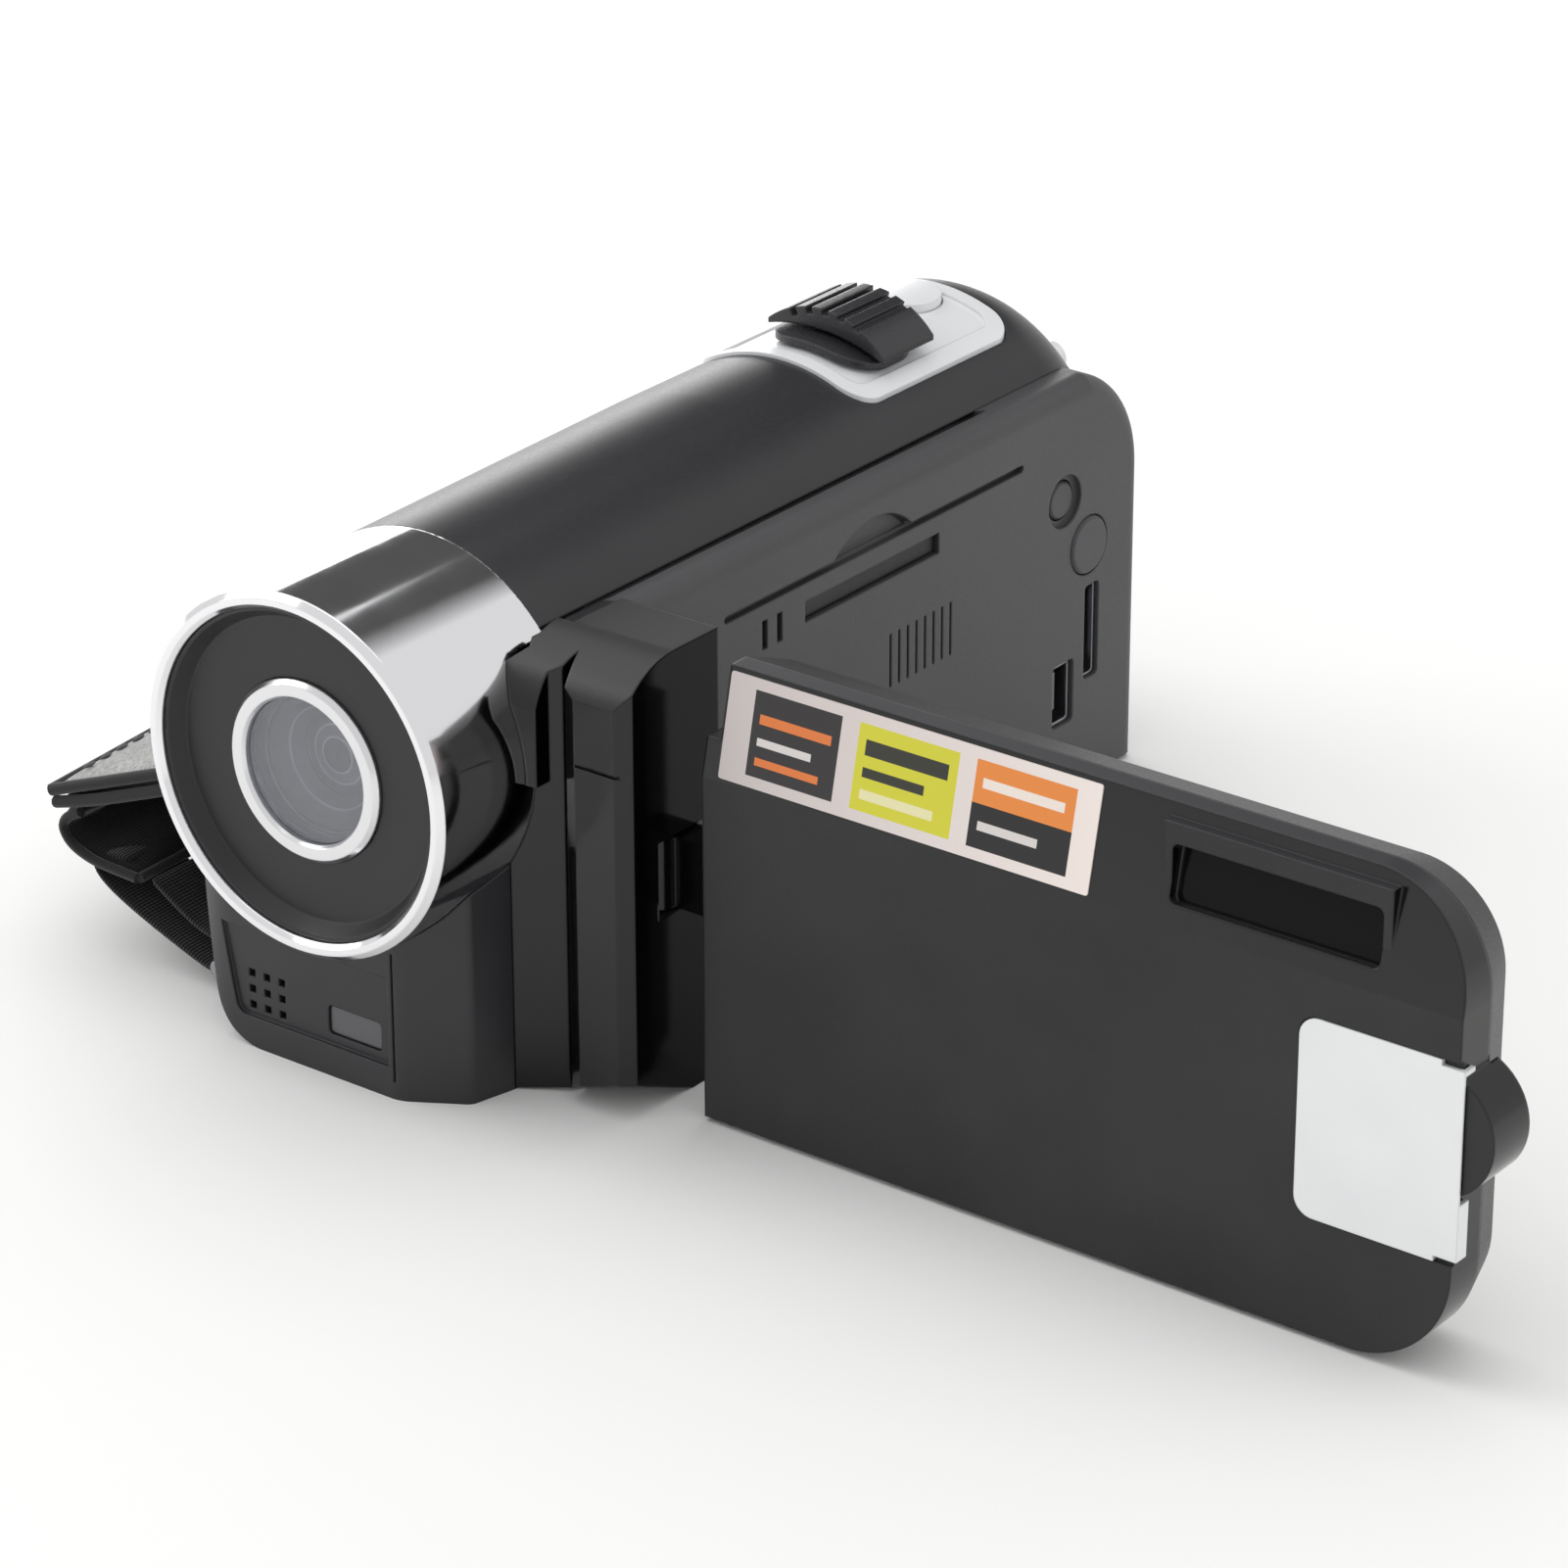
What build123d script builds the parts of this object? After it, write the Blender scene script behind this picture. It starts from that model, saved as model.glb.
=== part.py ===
from build123d import *
import os
from math import cos, degrees, radians, sin, sqrt, tan

# Palm-size camcorder with a fold-out screen.
# Frame: origin in the mouth of the tripod socket, +Z up, lens facing -Y,
# the screen hinged on the +X side and the hand strap on the -X side.

os.makedirs("parts", exist_ok=True)

# ---- driving dimensions (mm) ----
axis_height = 36.0  # optical axis above the base
lens_front = -60.0  # front rim of the lens sleeve
body_length = 123.0  # sleeve rim to rear face
hood_radius = 21.0  # round back of the body, about the optical axis
side_face = 21.7  # flat side that the closed screen lies against
shelf_height = 51.2  # top of the screen-side shell
grip_corner = 15.0  # foot of the grip side, from the middle
wall = 1.8  # housing wall
seam_angle = 41.0  # hood seam on the screen side, above horizontal
grip_angle = 190.0  # where the hood runs out into the grip side
hood_end_round = 11.0  # rounded rear rim of the hood
hood_inner_slope = 6.6
hood_full = 8.0  # the hood widens from the sleeve to its full radius here
shell_rim_round = 2.2  # edge between the side face and the shell's top and rear
shell_end_round = 14.0  # top rear corner of the screen-side shell
rear_corner = 6.0  # rear corner of the grip side, seen from above

sleeve_radius = 20.3
sleeve_length = 22.0
sleeve_bore = 18.4
face_recess = 2.6  # lens face behind the sleeve rim
trim_radius = 10.15
trim_bore = 8.1

chin_front = -56.0  # front of the chin below the lens
chin_right = 17.9  # where the chin meets the screen-side shell
ear_front = -46.6  # front of the screen-side shell beside the lens
ear_rear_of_slope = -43.6
foot_length = 10.6  # length of that cut along the block

parting_line_z = 39.2
block_front = -45.6  # hinge block
block_rear = -30.1
block_outer = 32.6
block_crest = 9.6  # rounded top front corner of the block
block_foot_rise = 4.6  # its lower outer front corner is cut away up to here
hinge_x = 30.1  # upright hinge axis
hinge_y = -37.6
hinge_pin_radius = 1.25
running_clearance = 0.05
swivel_offset = 2.7  # swivel axis behind the hinge axis, screen open
swivel_radius = 1.9
turret_half_height = 4.0
turret_radius = 2.35
turret_clearance = 0.35

panel_gap = 8.1  # hinge axis to the panel's hinged end
panel_length = 90.5
panel_height = 51.0
panel_thickness = 10.3
panel_floor_gap = 0.6
bevel_height = 12.0  # band along the panel's top that slopes back
bevel_depth = 2.7
panel_wall = 1.6
screen_width = 54.9  # 2.7 inch, 4:3
screen_height = 41.2
tab_radius = 6.9
tab_reach = 3.9  # how far the finger tab stands out
tab_thickness = 6.4
panel_draft = 18.0  # slope of the inner cover's sides, in degrees

card_width = 24.0  # full-size memory card
card_length = 32.0
card_thickness = 2.1
slot_centre_y = 11.1
slot_above_axis = 4.1

plate_half_width = 12.0  # silver control plate on the hood
plate_length = 29.6
plate_front = 22.6
plate_off_centre = -0.6
plate_thickness = 1.2
plate_proud = 0.4
lever_x = 1.8
lever_y = 33.5
lever_swing = 7.0  # degrees each way about the optical axis
cap_half_width = 8.0  # finger cap of the lever
cap_depth = 9.6
cap_thickness = 2.4
cap_rise = 3.6
cap_ridge_pitch = 2.3
shutter_x = -1.5
shutter_y = 46.4
button_travel = 0.8
button_gap = 0.15  # around a button in its hole

socket_radius = 2.6  # core of the 1/4 inch tripod thread
socket_depth = 5.5
nut_radius = 4.6

battery_size = (9.5, 36.0, 30.0)
door_width = 12.0
door_front = 13.0
door_clearance = 0.15

seat_gap = 0.1  # between parts that are screwed or clipped together
thin_plate = 0.6

parting_x = 8.0  # where the two lower shells meet
board_thickness = 1.2
card_play = 0.2
groove_start = -15.2  # long groove above the card slot
groove_length = 54.5
groove_width = 0.9
groove_depth = 1.0
scoop_height = 3.0
scoop_radius = 10.0
scoop_depth = 1.3
vent_ys = (-8.2, -5.6)
seam_step_end = 38.0  # the open step beside the hood seam stops here
speaker_y = 20.0
speaker_radius = 7.0
grille_pitch = 1.6
grille_columns = 8
grille_slot = 0.4
grille_height = 6.4

mode_radius = 2.3
play_radius = 3.5
port_corner = 0.6
usb_size = (3.9, 7.7)
hdmi_size = (2.6, 11.6)

nut_height = 7.0
door_left = -8.6
screw_head_radius = 1.5
screw_head_depth = 1.0
screw_shank_radius = 0.9
left_screw_x = 16.2
left_screw_ys = (-28.0, 46.0)
right_screw_x = -4.0
right_screw_ys = (-28.0, -14.0)

collar_radius = 22.2  # shell collar beside the sleeve
field_depth = 0.5
mic_x = -8.7
mic_z = 6.7
lamp_x = 3.6
chin_seam = 9.2
lamp_z = 6.4
lamp_size = (7.2, 3.2)
barrel_radius = 9.4
inner_lens_radius = 4.6
rear_lens_radius = 4.6

shaft_hole_play = 0.3
bezel_face = 2.2  # inner cover's face
module_thickness = 2.6
window_size = (60.0, 46.0)
window_thickness = 1.0
step_height = 7.8  # small step at the panel's upper hinge corner
step_width = 1.8
far_top_round = 11.5
far_low_round = 11.5
recess_from_hinge = 56.8
recess_length = 24.0
recess_height = 6.2
recess_depth = 1.2
badge_length = 17.9
badge_height = 21.6
badge_corner = 2.2
label_from_hinge = 2.1
label_length = 45.6
panel_screw_zs = (6.5, 38.0)

record_place = (1.6, 32.0)
record_radius = 4.2
power_place = (7.8, 40.2)
power_radius = 2.2
lamp_place = (-3.2, 37.6)
cap_place = (8.6, 46.9)  # small silver cap on the rear rim of the hood
cap_radius = 1.9
cap_seat = 1.6

lug_x = -19.6
lug_z = 4.6
lug_wire = 1.1
leg_inset = 1.3  # from the end of the lug's bar to the middle of its leg
front_lug = (-51.5, -34.9)
rear_lug = (18.4, 35.0)
pad_low_z = 9.0
strap_stations = ((-50.5, 1.0), (-20.0, 1.1), (37.0, 0.75))

# ---- derived places ----
rear_y = lens_front + body_length
hood_front = lens_front + sleeve_length
slot_z = axis_height + slot_above_axis
panel_start = hinge_x + panel_gap
panel_end = panel_start + panel_length
swivel_y = hinge_y + swivel_offset
panel_outer = swivel_y - panel_thickness / 2
panel_inner = swivel_y + panel_thickness / 2
panel_top = panel_floor_gap + panel_height
swivel_z = panel_floor_gap + panel_height / 2
face_y = lens_front + face_recess
inner_face = side_face - wall
hood_bore = hood_radius - wall
seam_foot = (
    hood_radius * cos(radians(seam_angle)),
    axis_height + hood_radius * sin(radians(seam_angle)),
)
grip_top = (
    hood_radius * cos(radians(grip_angle)),
    axis_height + hood_radius * sin(radians(grip_angle)),
)

groove_z = slot_z + 3.75
lamp_board_y = chin_front + wall + 1.6
inner_lens_y = face_y + 6.0
rear_lens_y = lens_front + 34.0
sensor_board_y = lens_front + 40.0
speaker_z = axis_height - 7.0
mode_place = (47.6, axis_height + 1.1)
play_place = (52.5, axis_height - 5.8)
usb_place = (47.8, 13.1)
hdmi_place = (53.3, 19.3)
main_board_z = slot_z - 3.3
ledge_start = 12.0
ledge_ys = (-6.0, 28.0)
side_board_x = 12.0
side_post_y = 42.6
side_post_zs = (9.0, axis_height - 6.0)
top_board_z = axis_height + 14.5
top_post_x = 7.5
top_post_y = (27.0, 39.6)
shaft_start = hinge_x + 3.0
shaft_end = panel_start + 8.0
shaft_hole = swivel_radius + shaft_hole_play
screen_centre = (panel_start + 43.5, swivel_z)
recess_start = panel_start + recess_from_hinge
badge_size = (badge_length + 2.0, badge_height)
badge_centre = (panel_end - badge_length + badge_size[0] / 2, swivel_z - 1.9)
label_start = panel_start + label_from_hinge
panel_screw_x = panel_start + 5.0
tab_z = swivel_z + 0.9
rear_board_y = rear_y - wall - 2.8
sleeve_seat = sleeve_radius + seat_gap / 2
chin_inner = chin_front + wall
plate_centre = (plate_off_centre, plate_front + plate_length / 2)
plate_size = (2 * plate_half_width, plate_length)
plate_corner = 3.6
plate_seat = hood_radius + plate_proud - plate_thickness
shutter_size = (10.8, 8.4)
shutter_corner = 4.1


# ---- helpers ----
def across(y):
    """Upright plane across the body at y: sketch x is X and sketch y is Z; it extrudes to the front."""
    return Plane.XZ.offset(-y)


def alongside(x):
    """Upright plane along the body at x: sketch x is Y and sketch y is Z; it extrudes to +X."""
    return Plane.YZ.offset(x)


def slab(low, high, mode=Mode.ADD):
    """A box between two opposite corners."""
    with Locations(tuple((a + b) / 2 for a, b in zip(low, high))):
        Box(*[b - a for a, b in zip(low, high)], mode=mode)


def bar(axis, start, end, centre, radius, mode=Mode.ADD):
    """A round bar along an axis, from start to end; centre gives the other two coordinates."""
    middle = (start + end) / 2
    turns = {"X": (0, 90, 0), "Y": (90, 0, 0), "Z": (0, 0, 0)}
    places = {
        "X": (middle, *centre),
        "Y": (centre[0], middle, centre[1]),
        "Z": (*centre, middle),
    }
    with Locations(places[axis]):
        Cylinder(radius, abs(end - start), rotation=turns[axis], mode=mode)


def round_block(plane, centre, size, corner, depth, mode=Mode.ADD):
    """A rounded rectangle on a plane, extruded to a depth."""
    with BuildSketch(plane) as outline:
        with Locations(centre):
            RectangleRounded(*size, corner)
    extrude(outline.sketch, amount=depth, mode=mode)


def turned(points, plane=Plane.YZ):
    """A face for a part turned about the optical axis, from (y, radius) points."""
    with BuildSketch(plane) as half:
        with BuildLine():
            Polyline(*[(y, axis_height + r) for y, r in points], close=True)
        make_face()
    return half.sketch


def grown(size, gap):
    """A width and height made larger by a gap all round."""
    return size[0] + 2 * gap, size[1] + 2 * gap


def screw_hole(place):
    """A hole in the base for a shell screw, with a seat for its head."""
    bar("Z", -1, screw_head_depth, place, screw_head_radius + 0.1, mode=Mode.SUBTRACT)
    bar("Z", 0, 7, place, screw_shank_radius + 0.02, mode=Mode.SUBTRACT)


optical_axis = Axis((0, 0, axis_height), (0, 1, 0))


def finish(part, name):
    """Label a finished piece and write it."""
    part.part.label = name
    export_step(part.part, f"parts/{name}.step")


# ---- housing forms shared by the shells ----
body_corners = [
    (-grip_corner, 0),
    (side_face, 0),
    (side_face, shelf_height),
    (seam_foot[0] + 1.4, seam_foot[1] + 0.4),
    seam_foot,
    (0, axis_height),
    grip_top,
]


def body_section(plane):
    """Lower body seen from the front: flat screen side, flat base, slanted grip side."""
    with BuildSketch(plane) as section:
        with BuildLine():
            Polyline(*body_corners, close=True)
        make_face()
        for corner, radius in (
            ((-grip_corner, 0), 7),
            ((side_face, 0), 1.5),
            ((side_face, shelf_height), shell_rim_round),
        ):
            fillet(section.vertices().sort_by_distance(corner)[0], radius)
    return section.sketch


def cavity_section(plane):
    """The inside of the housing: the whole outline, hood included, less the wall."""
    with BuildSketch(plane) as section:
        with BuildLine():
            Polyline(*body_corners, close=True)
        make_face()
        with Locations((0, axis_height)):
            Circle(hood_radius)
        offset(amount=-wall, kind=Kind.INTERSECTION)
    return section.sketch


with BuildPart() as lower_body:
    extrude(body_section(across(rear_y)), amount=body_length - sleeve_length)
    with BuildSketch(Plane.XY) as plan:
        with BuildLine():
            Polyline(
                (-hood_radius - 1, hood_front - 1),
                (side_face, hood_front - 1),
                (side_face, rear_y),
                (-hood_radius - 1, rear_y),
                close=True,
            )
        make_face()
        fillet(plan.vertices().sort_by_distance((-hood_radius, rear_y))[0], rear_corner)
    extrude(plan.sketch, amount=shelf_height + 1, mode=Mode.INTERSECT)

with BuildPart() as body_cavity:
    extrude(cavity_section(across(rear_y - wall)), amount=body_length - sleeve_length)
    with BuildSketch(Plane.XY) as cavity_plan:
        with BuildLine():
            Polyline(
                (-hood_radius, hood_front - 1),
                (side_face - wall, hood_front - 1),
                (side_face - wall, rear_y - wall),
                (-hood_radius, rear_y - wall),
                close=True,
            )
        make_face()
        inner_corners = cavity_plan.vertices().group_by(Axis.Y)[-1].sort_by(Axis.X)
        fillet(inner_corners, rear_corner - wall)
    extrude(cavity_plan.sketch, amount=axis_height + hood_radius, mode=Mode.INTERSECT)


def crest_outline(x):
    """The hinge block and the ear seen from the side, their top rounded down to the front."""
    with BuildSketch(alongside(x)) as outline:
        with BuildLine():
            Polyline(
                (ear_front - 0.5, 0),
                (block_rear + 0.5, 0),
                (block_rear + 0.5, shelf_height),
                (ear_front - 0.5, shelf_height),
                close=True,
            )
        make_face()
        fillet(outline.vertices().sort_by_distance((ear_front, shelf_height))[0], block_crest)
    return outline.sketch


# ---- hinge block: carries the screen, part of the screen-side shell ----
slot_back = hinge_x - swivel_offset - swivel_radius - 0.7 - turret_clearance
with BuildPart() as hinge_block:
    with BuildSketch(Plane.XY) as block_plan:
        with BuildLine():
            Polyline(
                (chin_right, hood_front),
                (chin_right, ear_front),
                (23.0, ear_rear_of_slope),
                (23.6, ear_rear_of_slope + 2.0),
                (24.4, block_front + 0.6),
                (26.0, block_front),
                (block_outer - 1.4, block_front),
                (block_outer, block_front + 1.4),
                (block_outer, block_rear),
                (inner_face, block_rear),
                (inner_face, hood_front),
                close=True,
            )
        make_face()
    extrude(block_plan.sketch, amount=shelf_height)
    extrude(crest_outline(chin_right), amount=block_outer, mode=Mode.INTERSECT)
    # sloping cut under the outer front corner
    foot_start = Vector(chin_right + 0.6, block_front, 0)
    foot_slope = Vector(block_outer, block_front, block_foot_rise) - foot_start
    foot_run = Vector(block_outer, block_front + foot_length, 0) - foot_start
    with Locations(Location(Plane(origin=foot_start, x_dir=foot_slope, z_dir=foot_slope.cross(foot_run)))):
        Box(90, 90, 10, align=(Align.CENTER, Align.CENTER, Align.MAX), mode=Mode.SUBTRACT)
    # slot that the turret and its arm swing through, from facing +X to facing the rear
    slab(
        (slot_back, hinge_y - turret_radius - turret_clearance, swivel_z - turret_half_height - turret_clearance),
        (block_outer + 1, block_rear + 1, swivel_z + turret_half_height + turret_clearance),
        mode=Mode.SUBTRACT,
    )
    bar("Z", swivel_z - 16, swivel_z + 16, (hinge_x, hinge_y), hinge_pin_radius, mode=Mode.SUBTRACT)
    # parting line across the front of the ear and of the block
    for line_start, line_end, face in ((chin_right + 0.8, 22.6, ear_front), (26.0, block_outer + 1, block_front)):
        slab((line_start, face - 1, parting_line_z), (line_end, face + 0.5, parting_line_z + 0.35), mode=Mode.SUBTRACT)
    # room for the lens sleeve and its collar
    bar("Y", ear_front - 1, hood_front + 1, (0, axis_height), sleeve_seat, mode=Mode.SUBTRACT)


def hood_patch(centre, size, corner, inner, outer):
    """A piece of tube wall about the optical axis, trimmed to a rounded rectangle seen from above."""
    with BuildPart() as patch:
        bar("Y", centre[1] - size[1], centre[1] + size[1], (0, axis_height), outer)
        bar("Y", centre[1] - size[1] - 1, centre[1] + size[1] + 1, (0, axis_height), inner, mode=Mode.SUBTRACT)
        with BuildSketch(Plane.XY.offset(axis_height)) as outline:
            with Locations(centre):
                RectangleRounded(*size, corner)
        extrude(outline.sketch, amount=outer + 1, mode=Mode.INTERSECT)
    return patch.part


with BuildPart() as lever_slot:
    slab(
        (lever_x - 5.6, lever_y - 2.4, axis_height + 12),
        (lever_x + 5.6, lever_y + 2.4, axis_height + hood_radius + 3),
    )
lever_opening = lever_slot.part

with BuildPart() as shutter_hole:
    round_block(
        Plane.XY.offset(axis_height + 12),
        (shutter_x, shutter_y),
        grown(shutter_size, button_gap),
        shutter_corner,
        hood_radius,
    )
shutter_opening = shutter_hole.part

# window in the rear walls for the inset control panel
rear_panel_size = (20.0, 34.0)
rear_panel_centre = (2.5, 27.5)
rear_panel_corner = 7.0
with BuildPart() as rear_window:
    round_block(
        across(rear_y + 1),
        rear_panel_centre,
        grown(rear_panel_size, seat_gap),
        rear_panel_corner,
        wall + 2.5,
    )
rear_opening = rear_window.part

# ---- round hood over the top ----
with BuildPart() as hood_form:
    with BuildSketch(Plane.YZ) as hood_half:
        with BuildLine():
            Polyline(
                (hood_front, axis_height),
                (hood_front, axis_height + sleeve_radius),
                (hood_full, axis_height + hood_radius),
                (rear_y, axis_height + hood_radius),
                (rear_y, axis_height),
                close=True,
            )
        make_face()
        rim = hood_half.vertices().sort_by_distance((rear_y, axis_height + hood_radius))[0]
        fillet(rim, hood_end_round)
    revolve(hood_half.sketch, optical_axis)

with BuildPart() as hood_inside:
    with BuildSketch(Plane.YZ) as bore_half:
        with BuildLine():
            Polyline(
                (hood_front - 1, axis_height),
                (hood_front - 1, axis_height + hood_bore),
                (rear_y - wall, axis_height + hood_bore),
                (rear_y - wall, axis_height),
                close=True,
            )
        make_face()
        inner_rim = bore_half.vertices().sort_by_distance((rear_y, axis_height + hood_radius))[0]
        chamfer(inner_rim, hood_inner_slope)
    revolve(bore_half.sketch, optical_axis)

with BuildPart() as top_hood:
    add(hood_form.part)
    add(hood_inside.part, mode=Mode.SUBTRACT)
    # the lower shells take everything below the two seams
    reach = hood_radius + 5
    with BuildSketch(across(rear_y + 1)) as below_seams:
        with BuildLine():
            Polyline(
                (0, axis_height),
                (reach * cos(radians(grip_angle)), axis_height + reach * sin(radians(grip_angle))),
                (-reach, -1),
                (reach, -1),
                (reach, axis_height + reach * sin(radians(seam_angle))),
                (reach * cos(radians(seam_angle)), axis_height + reach * sin(radians(seam_angle))),
                close=True,
            )
        make_face()
    extrude(below_seams.sketch, amount=body_length, mode=Mode.SUBTRACT)
    # fine line round the hood just behind the sleeve
    collar = hood_front + 3.5
    revolve(
        turned([(collar, hood_radius - 0.35), (collar, 22.5), (collar + 0.4, 22.5), (collar + 0.4, hood_radius - 0.35)]),
        optical_axis,
        mode=Mode.SUBTRACT,
    )
    # seat for the control plate, with openings for the lever and the shutter button
    add(
        hood_patch(plate_centre, grown(plate_size, seat_gap), plate_corner, plate_seat, hood_radius + 3),
        mode=Mode.SUBTRACT,
    )
    add(lever_opening, mode=Mode.SUBTRACT)
    add(shutter_opening, mode=Mode.SUBTRACT)
    # posts that carry the small board under the controls
    for post_x in (-top_post_x, top_post_x):
        for post_y in top_post_y:
            slab(
                (post_x - 1.2, post_y - 1.2, top_board_z),
                (post_x + 1.2, post_y + 1.2, axis_height + hood_bore - 1.2),
            )
    add(rear_opening, mode=Mode.SUBTRACT)
    bar("Y", rear_y - cap_seat, rear_y + 1, cap_place, cap_radius + seat_gap / 2, mode=Mode.SUBTRACT)
finish(top_hood, "top_hood")

# shoulder of the screen-side shell that runs forward above the lens axis
with BuildPart() as shoulder:
    extrude(body_section(across(hood_front)), amount=hood_front - ear_front)
    slab((0, ear_front - 1, axis_height), (side_face + 1, hood_front + 1, shelf_height + 1), mode=Mode.INTERSECT)
    extrude(crest_outline(0), amount=side_face + 1, mode=Mode.INTERSECT)
    bar("Y", ear_front - 1, hood_front + 1, (0, axis_height), sleeve_seat, mode=Mode.SUBTRACT)


def side_outline(inset):
    """The screen-side shell seen from its side, its rear upper corner rounded, drawn in by an inset."""
    with BuildSketch(alongside(parting_x - 1)) as outline:
        with BuildLine():
            Polyline(
                (hood_front - 1, -1),
                (rear_y - inset, -1),
                (rear_y - inset, shelf_height - inset),
                (hood_front - 1, shelf_height - inset),
                close=True,
            )
        make_face()
        upper_corner = outline.vertices().sort_by_distance((rear_y, shelf_height))[0]
        fillet(upper_corner, shell_end_round - inset)
    return outline.sketch


# the dome of the hood carries on below the seam until it meets the shell's own rounded end
with BuildPart() as shell_envelope:
    extrude(side_outline(0), amount=side_face - parting_x + 1)
    outer_rim = shell_envelope.faces().sort_by(Axis.X)[-1].edges()
    fillet(outer_rim.filter_by(lambda edge: edge.center().Y > 0 and edge.center().Z > 1), shell_rim_round)
    add(hood_form.part)

with BuildPart() as left_cavity:
    extrude(side_outline(wall), amount=side_face)
    add(hood_inside.part)
    add(body_cavity.part, mode=Mode.INTERSECT)

# ---- screen-side shell with the hinge block ----
with BuildPart() as left_shell:
    add(lower_body.part)
    slab((parting_x, hood_front - 1, -1), (side_face + 1, rear_y + 1, shelf_height + 1), mode=Mode.INTERSECT)
    add(shell_envelope.part, mode=Mode.INTERSECT)
    add(hinge_block.part)
    add(shoulder.part)
    add(left_cavity.part, mode=Mode.SUBTRACT)
    # step beside the hood seam
    with BuildSketch(across(seam_step_end)) as step:
        with Locations(Location((seam_foot[0], seam_foot[1], 0), (0, 0, seam_angle))):
            Rectangle(3.0, 1.5, align=(Align.CENTER, Align.MAX))
    extrude(step.sketch, amount=body_length, mode=Mode.SUBTRACT)
    # groove with a half-moon scoop above the card slot
    round_block(
        alongside(side_face - groove_depth),
        (groove_start + groove_length / 2, groove_z),
        (groove_length, groove_width),
        groove_width / 2 - 0.01,
        groove_depth + 1,
        mode=Mode.SUBTRACT,
    )
    with BuildSketch(alongside(side_face - scoop_depth)) as scoop:
        with Locations((slot_centre_y, groove_z + scoop_height - scoop_radius)):
            Circle(scoop_radius)
        with Locations((slot_centre_y, groove_z)):
            Rectangle(2 * scoop_radius, scoop_height + 1, align=(Align.CENTER, Align.MIN), mode=Mode.INTERSECT)
    extrude(scoop.sketch, amount=scoop_depth + 1, taper=-12, mode=Mode.SUBTRACT)
    # card slot
    slab(
        (inner_face - 1, slot_centre_y - card_width / 2 - card_play, slot_z - card_thickness / 2 - card_play),
        (side_face + 1, slot_centre_y + card_width / 2 + card_play, slot_z + card_thickness / 2 + card_play),
        mode=Mode.SUBTRACT,
    )
    # two short vent slots near the hinge
    for vent_y in vent_ys:
        slab(
            (side_face - 1.2, vent_y - 0.45, slot_z - 1.9),
            (side_face + 1, vent_y + 0.45, slot_z + 1.5),
            mode=Mode.SUBTRACT,
        )
    # speaker grille
    with Locations((side_face, speaker_y, speaker_z)):
        with GridLocations(0, grille_pitch, 1, grille_columns):
            Box(4 * wall, grille_slot, grille_height, mode=Mode.SUBTRACT)
    # button holes and ports
    bar("X", inner_face - 1, side_face + 1, mode_place, mode_radius + button_gap, mode=Mode.SUBTRACT)
    bar("X", side_face - 0.7, side_face + 1, mode_place, mode_radius + 0.9, mode=Mode.SUBTRACT)
    bar("X", inner_face - 1, side_face + 1, play_place, play_radius + button_gap, mode=Mode.SUBTRACT)
    for place, size in ((usb_place, usb_size), (hdmi_place, hdmi_size)):
        round_block(
            alongside(inner_face - 1),
            place,
            grown(size, seat_gap),
            port_corner,
            wall + 2,
            mode=Mode.SUBTRACT,
        )
    # ledges under the main board, posts behind the side board, screw bosses
    for ledge_y in ledge_ys:
        slab(
            (ledge_start, ledge_y, main_board_z - 2),
            (inner_face + 0.2, ledge_y + 4, main_board_z),
        )
    for post_z in side_post_zs:
        slab(
            (side_board_x + board_thickness, side_post_y - 1.5, post_z - 1.5),
            (inner_face + 0.2, side_post_y + 1.5, post_z + 1.5),
        )
    for boss_y in left_screw_ys:
        slab((left_screw_x - 2.1, boss_y - 2.1, wall - 0.2), (left_screw_x + 2.1, boss_y + 2.1, 8))
        screw_hole((left_screw_x, boss_y))
    add(rear_opening, mode=Mode.SUBTRACT)
finish(left_shell, "left_shell")

# the grip-side shell keeps a ledge under the dome, where the dome draws in from the side
with BuildPart() as right_cavity:
    slab((-hood_radius - 2, hood_front - 2, -1), (parting_x + 1, rear_y, grip_top[1] - wall))
    add(hood_inside.part)
    add(body_cavity.part, mode=Mode.INTERSECT)

# ---- grip-side shell ----
with BuildPart() as right_shell:
    add(lower_body.part)
    slab((-hood_radius - 2, hood_front - 1, -1), (parting_x, rear_y + 1, shelf_height + 1), mode=Mode.INTERSECT)
    add(right_cavity.part, mode=Mode.SUBTRACT)
    # boss round the tripod nut
    bar("Z", 0, nut_height, (0, 0), nut_radius + 1.8)
    bar("Z", -1, nut_height + 1, (0, 0), nut_radius, mode=Mode.SUBTRACT)
    for lug_y in (front_lug[1] - leg_inset, rear_lug[0] + leg_inset, rear_lug[1] - leg_inset):
        bar("X", lug_x, -10, (lug_y, lug_z), lug_wire, mode=Mode.SUBTRACT)
    # battery door opening, open to the rear
    slab(
        (door_left - door_clearance, door_front - door_clearance, -1),
        (door_left + door_width + door_clearance, rear_y + 1, wall + door_clearance),
        mode=Mode.SUBTRACT,
    )
    for boss_y in right_screw_ys:
        slab((right_screw_x - 2.1, boss_y - 2.1, wall - 0.2), (right_screw_x + 2.1, boss_y + 2.1, 8))
        screw_hole((right_screw_x, boss_y))
    add(rear_opening, mode=Mode.SUBTRACT)
finish(right_shell, "right_shell")

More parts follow.
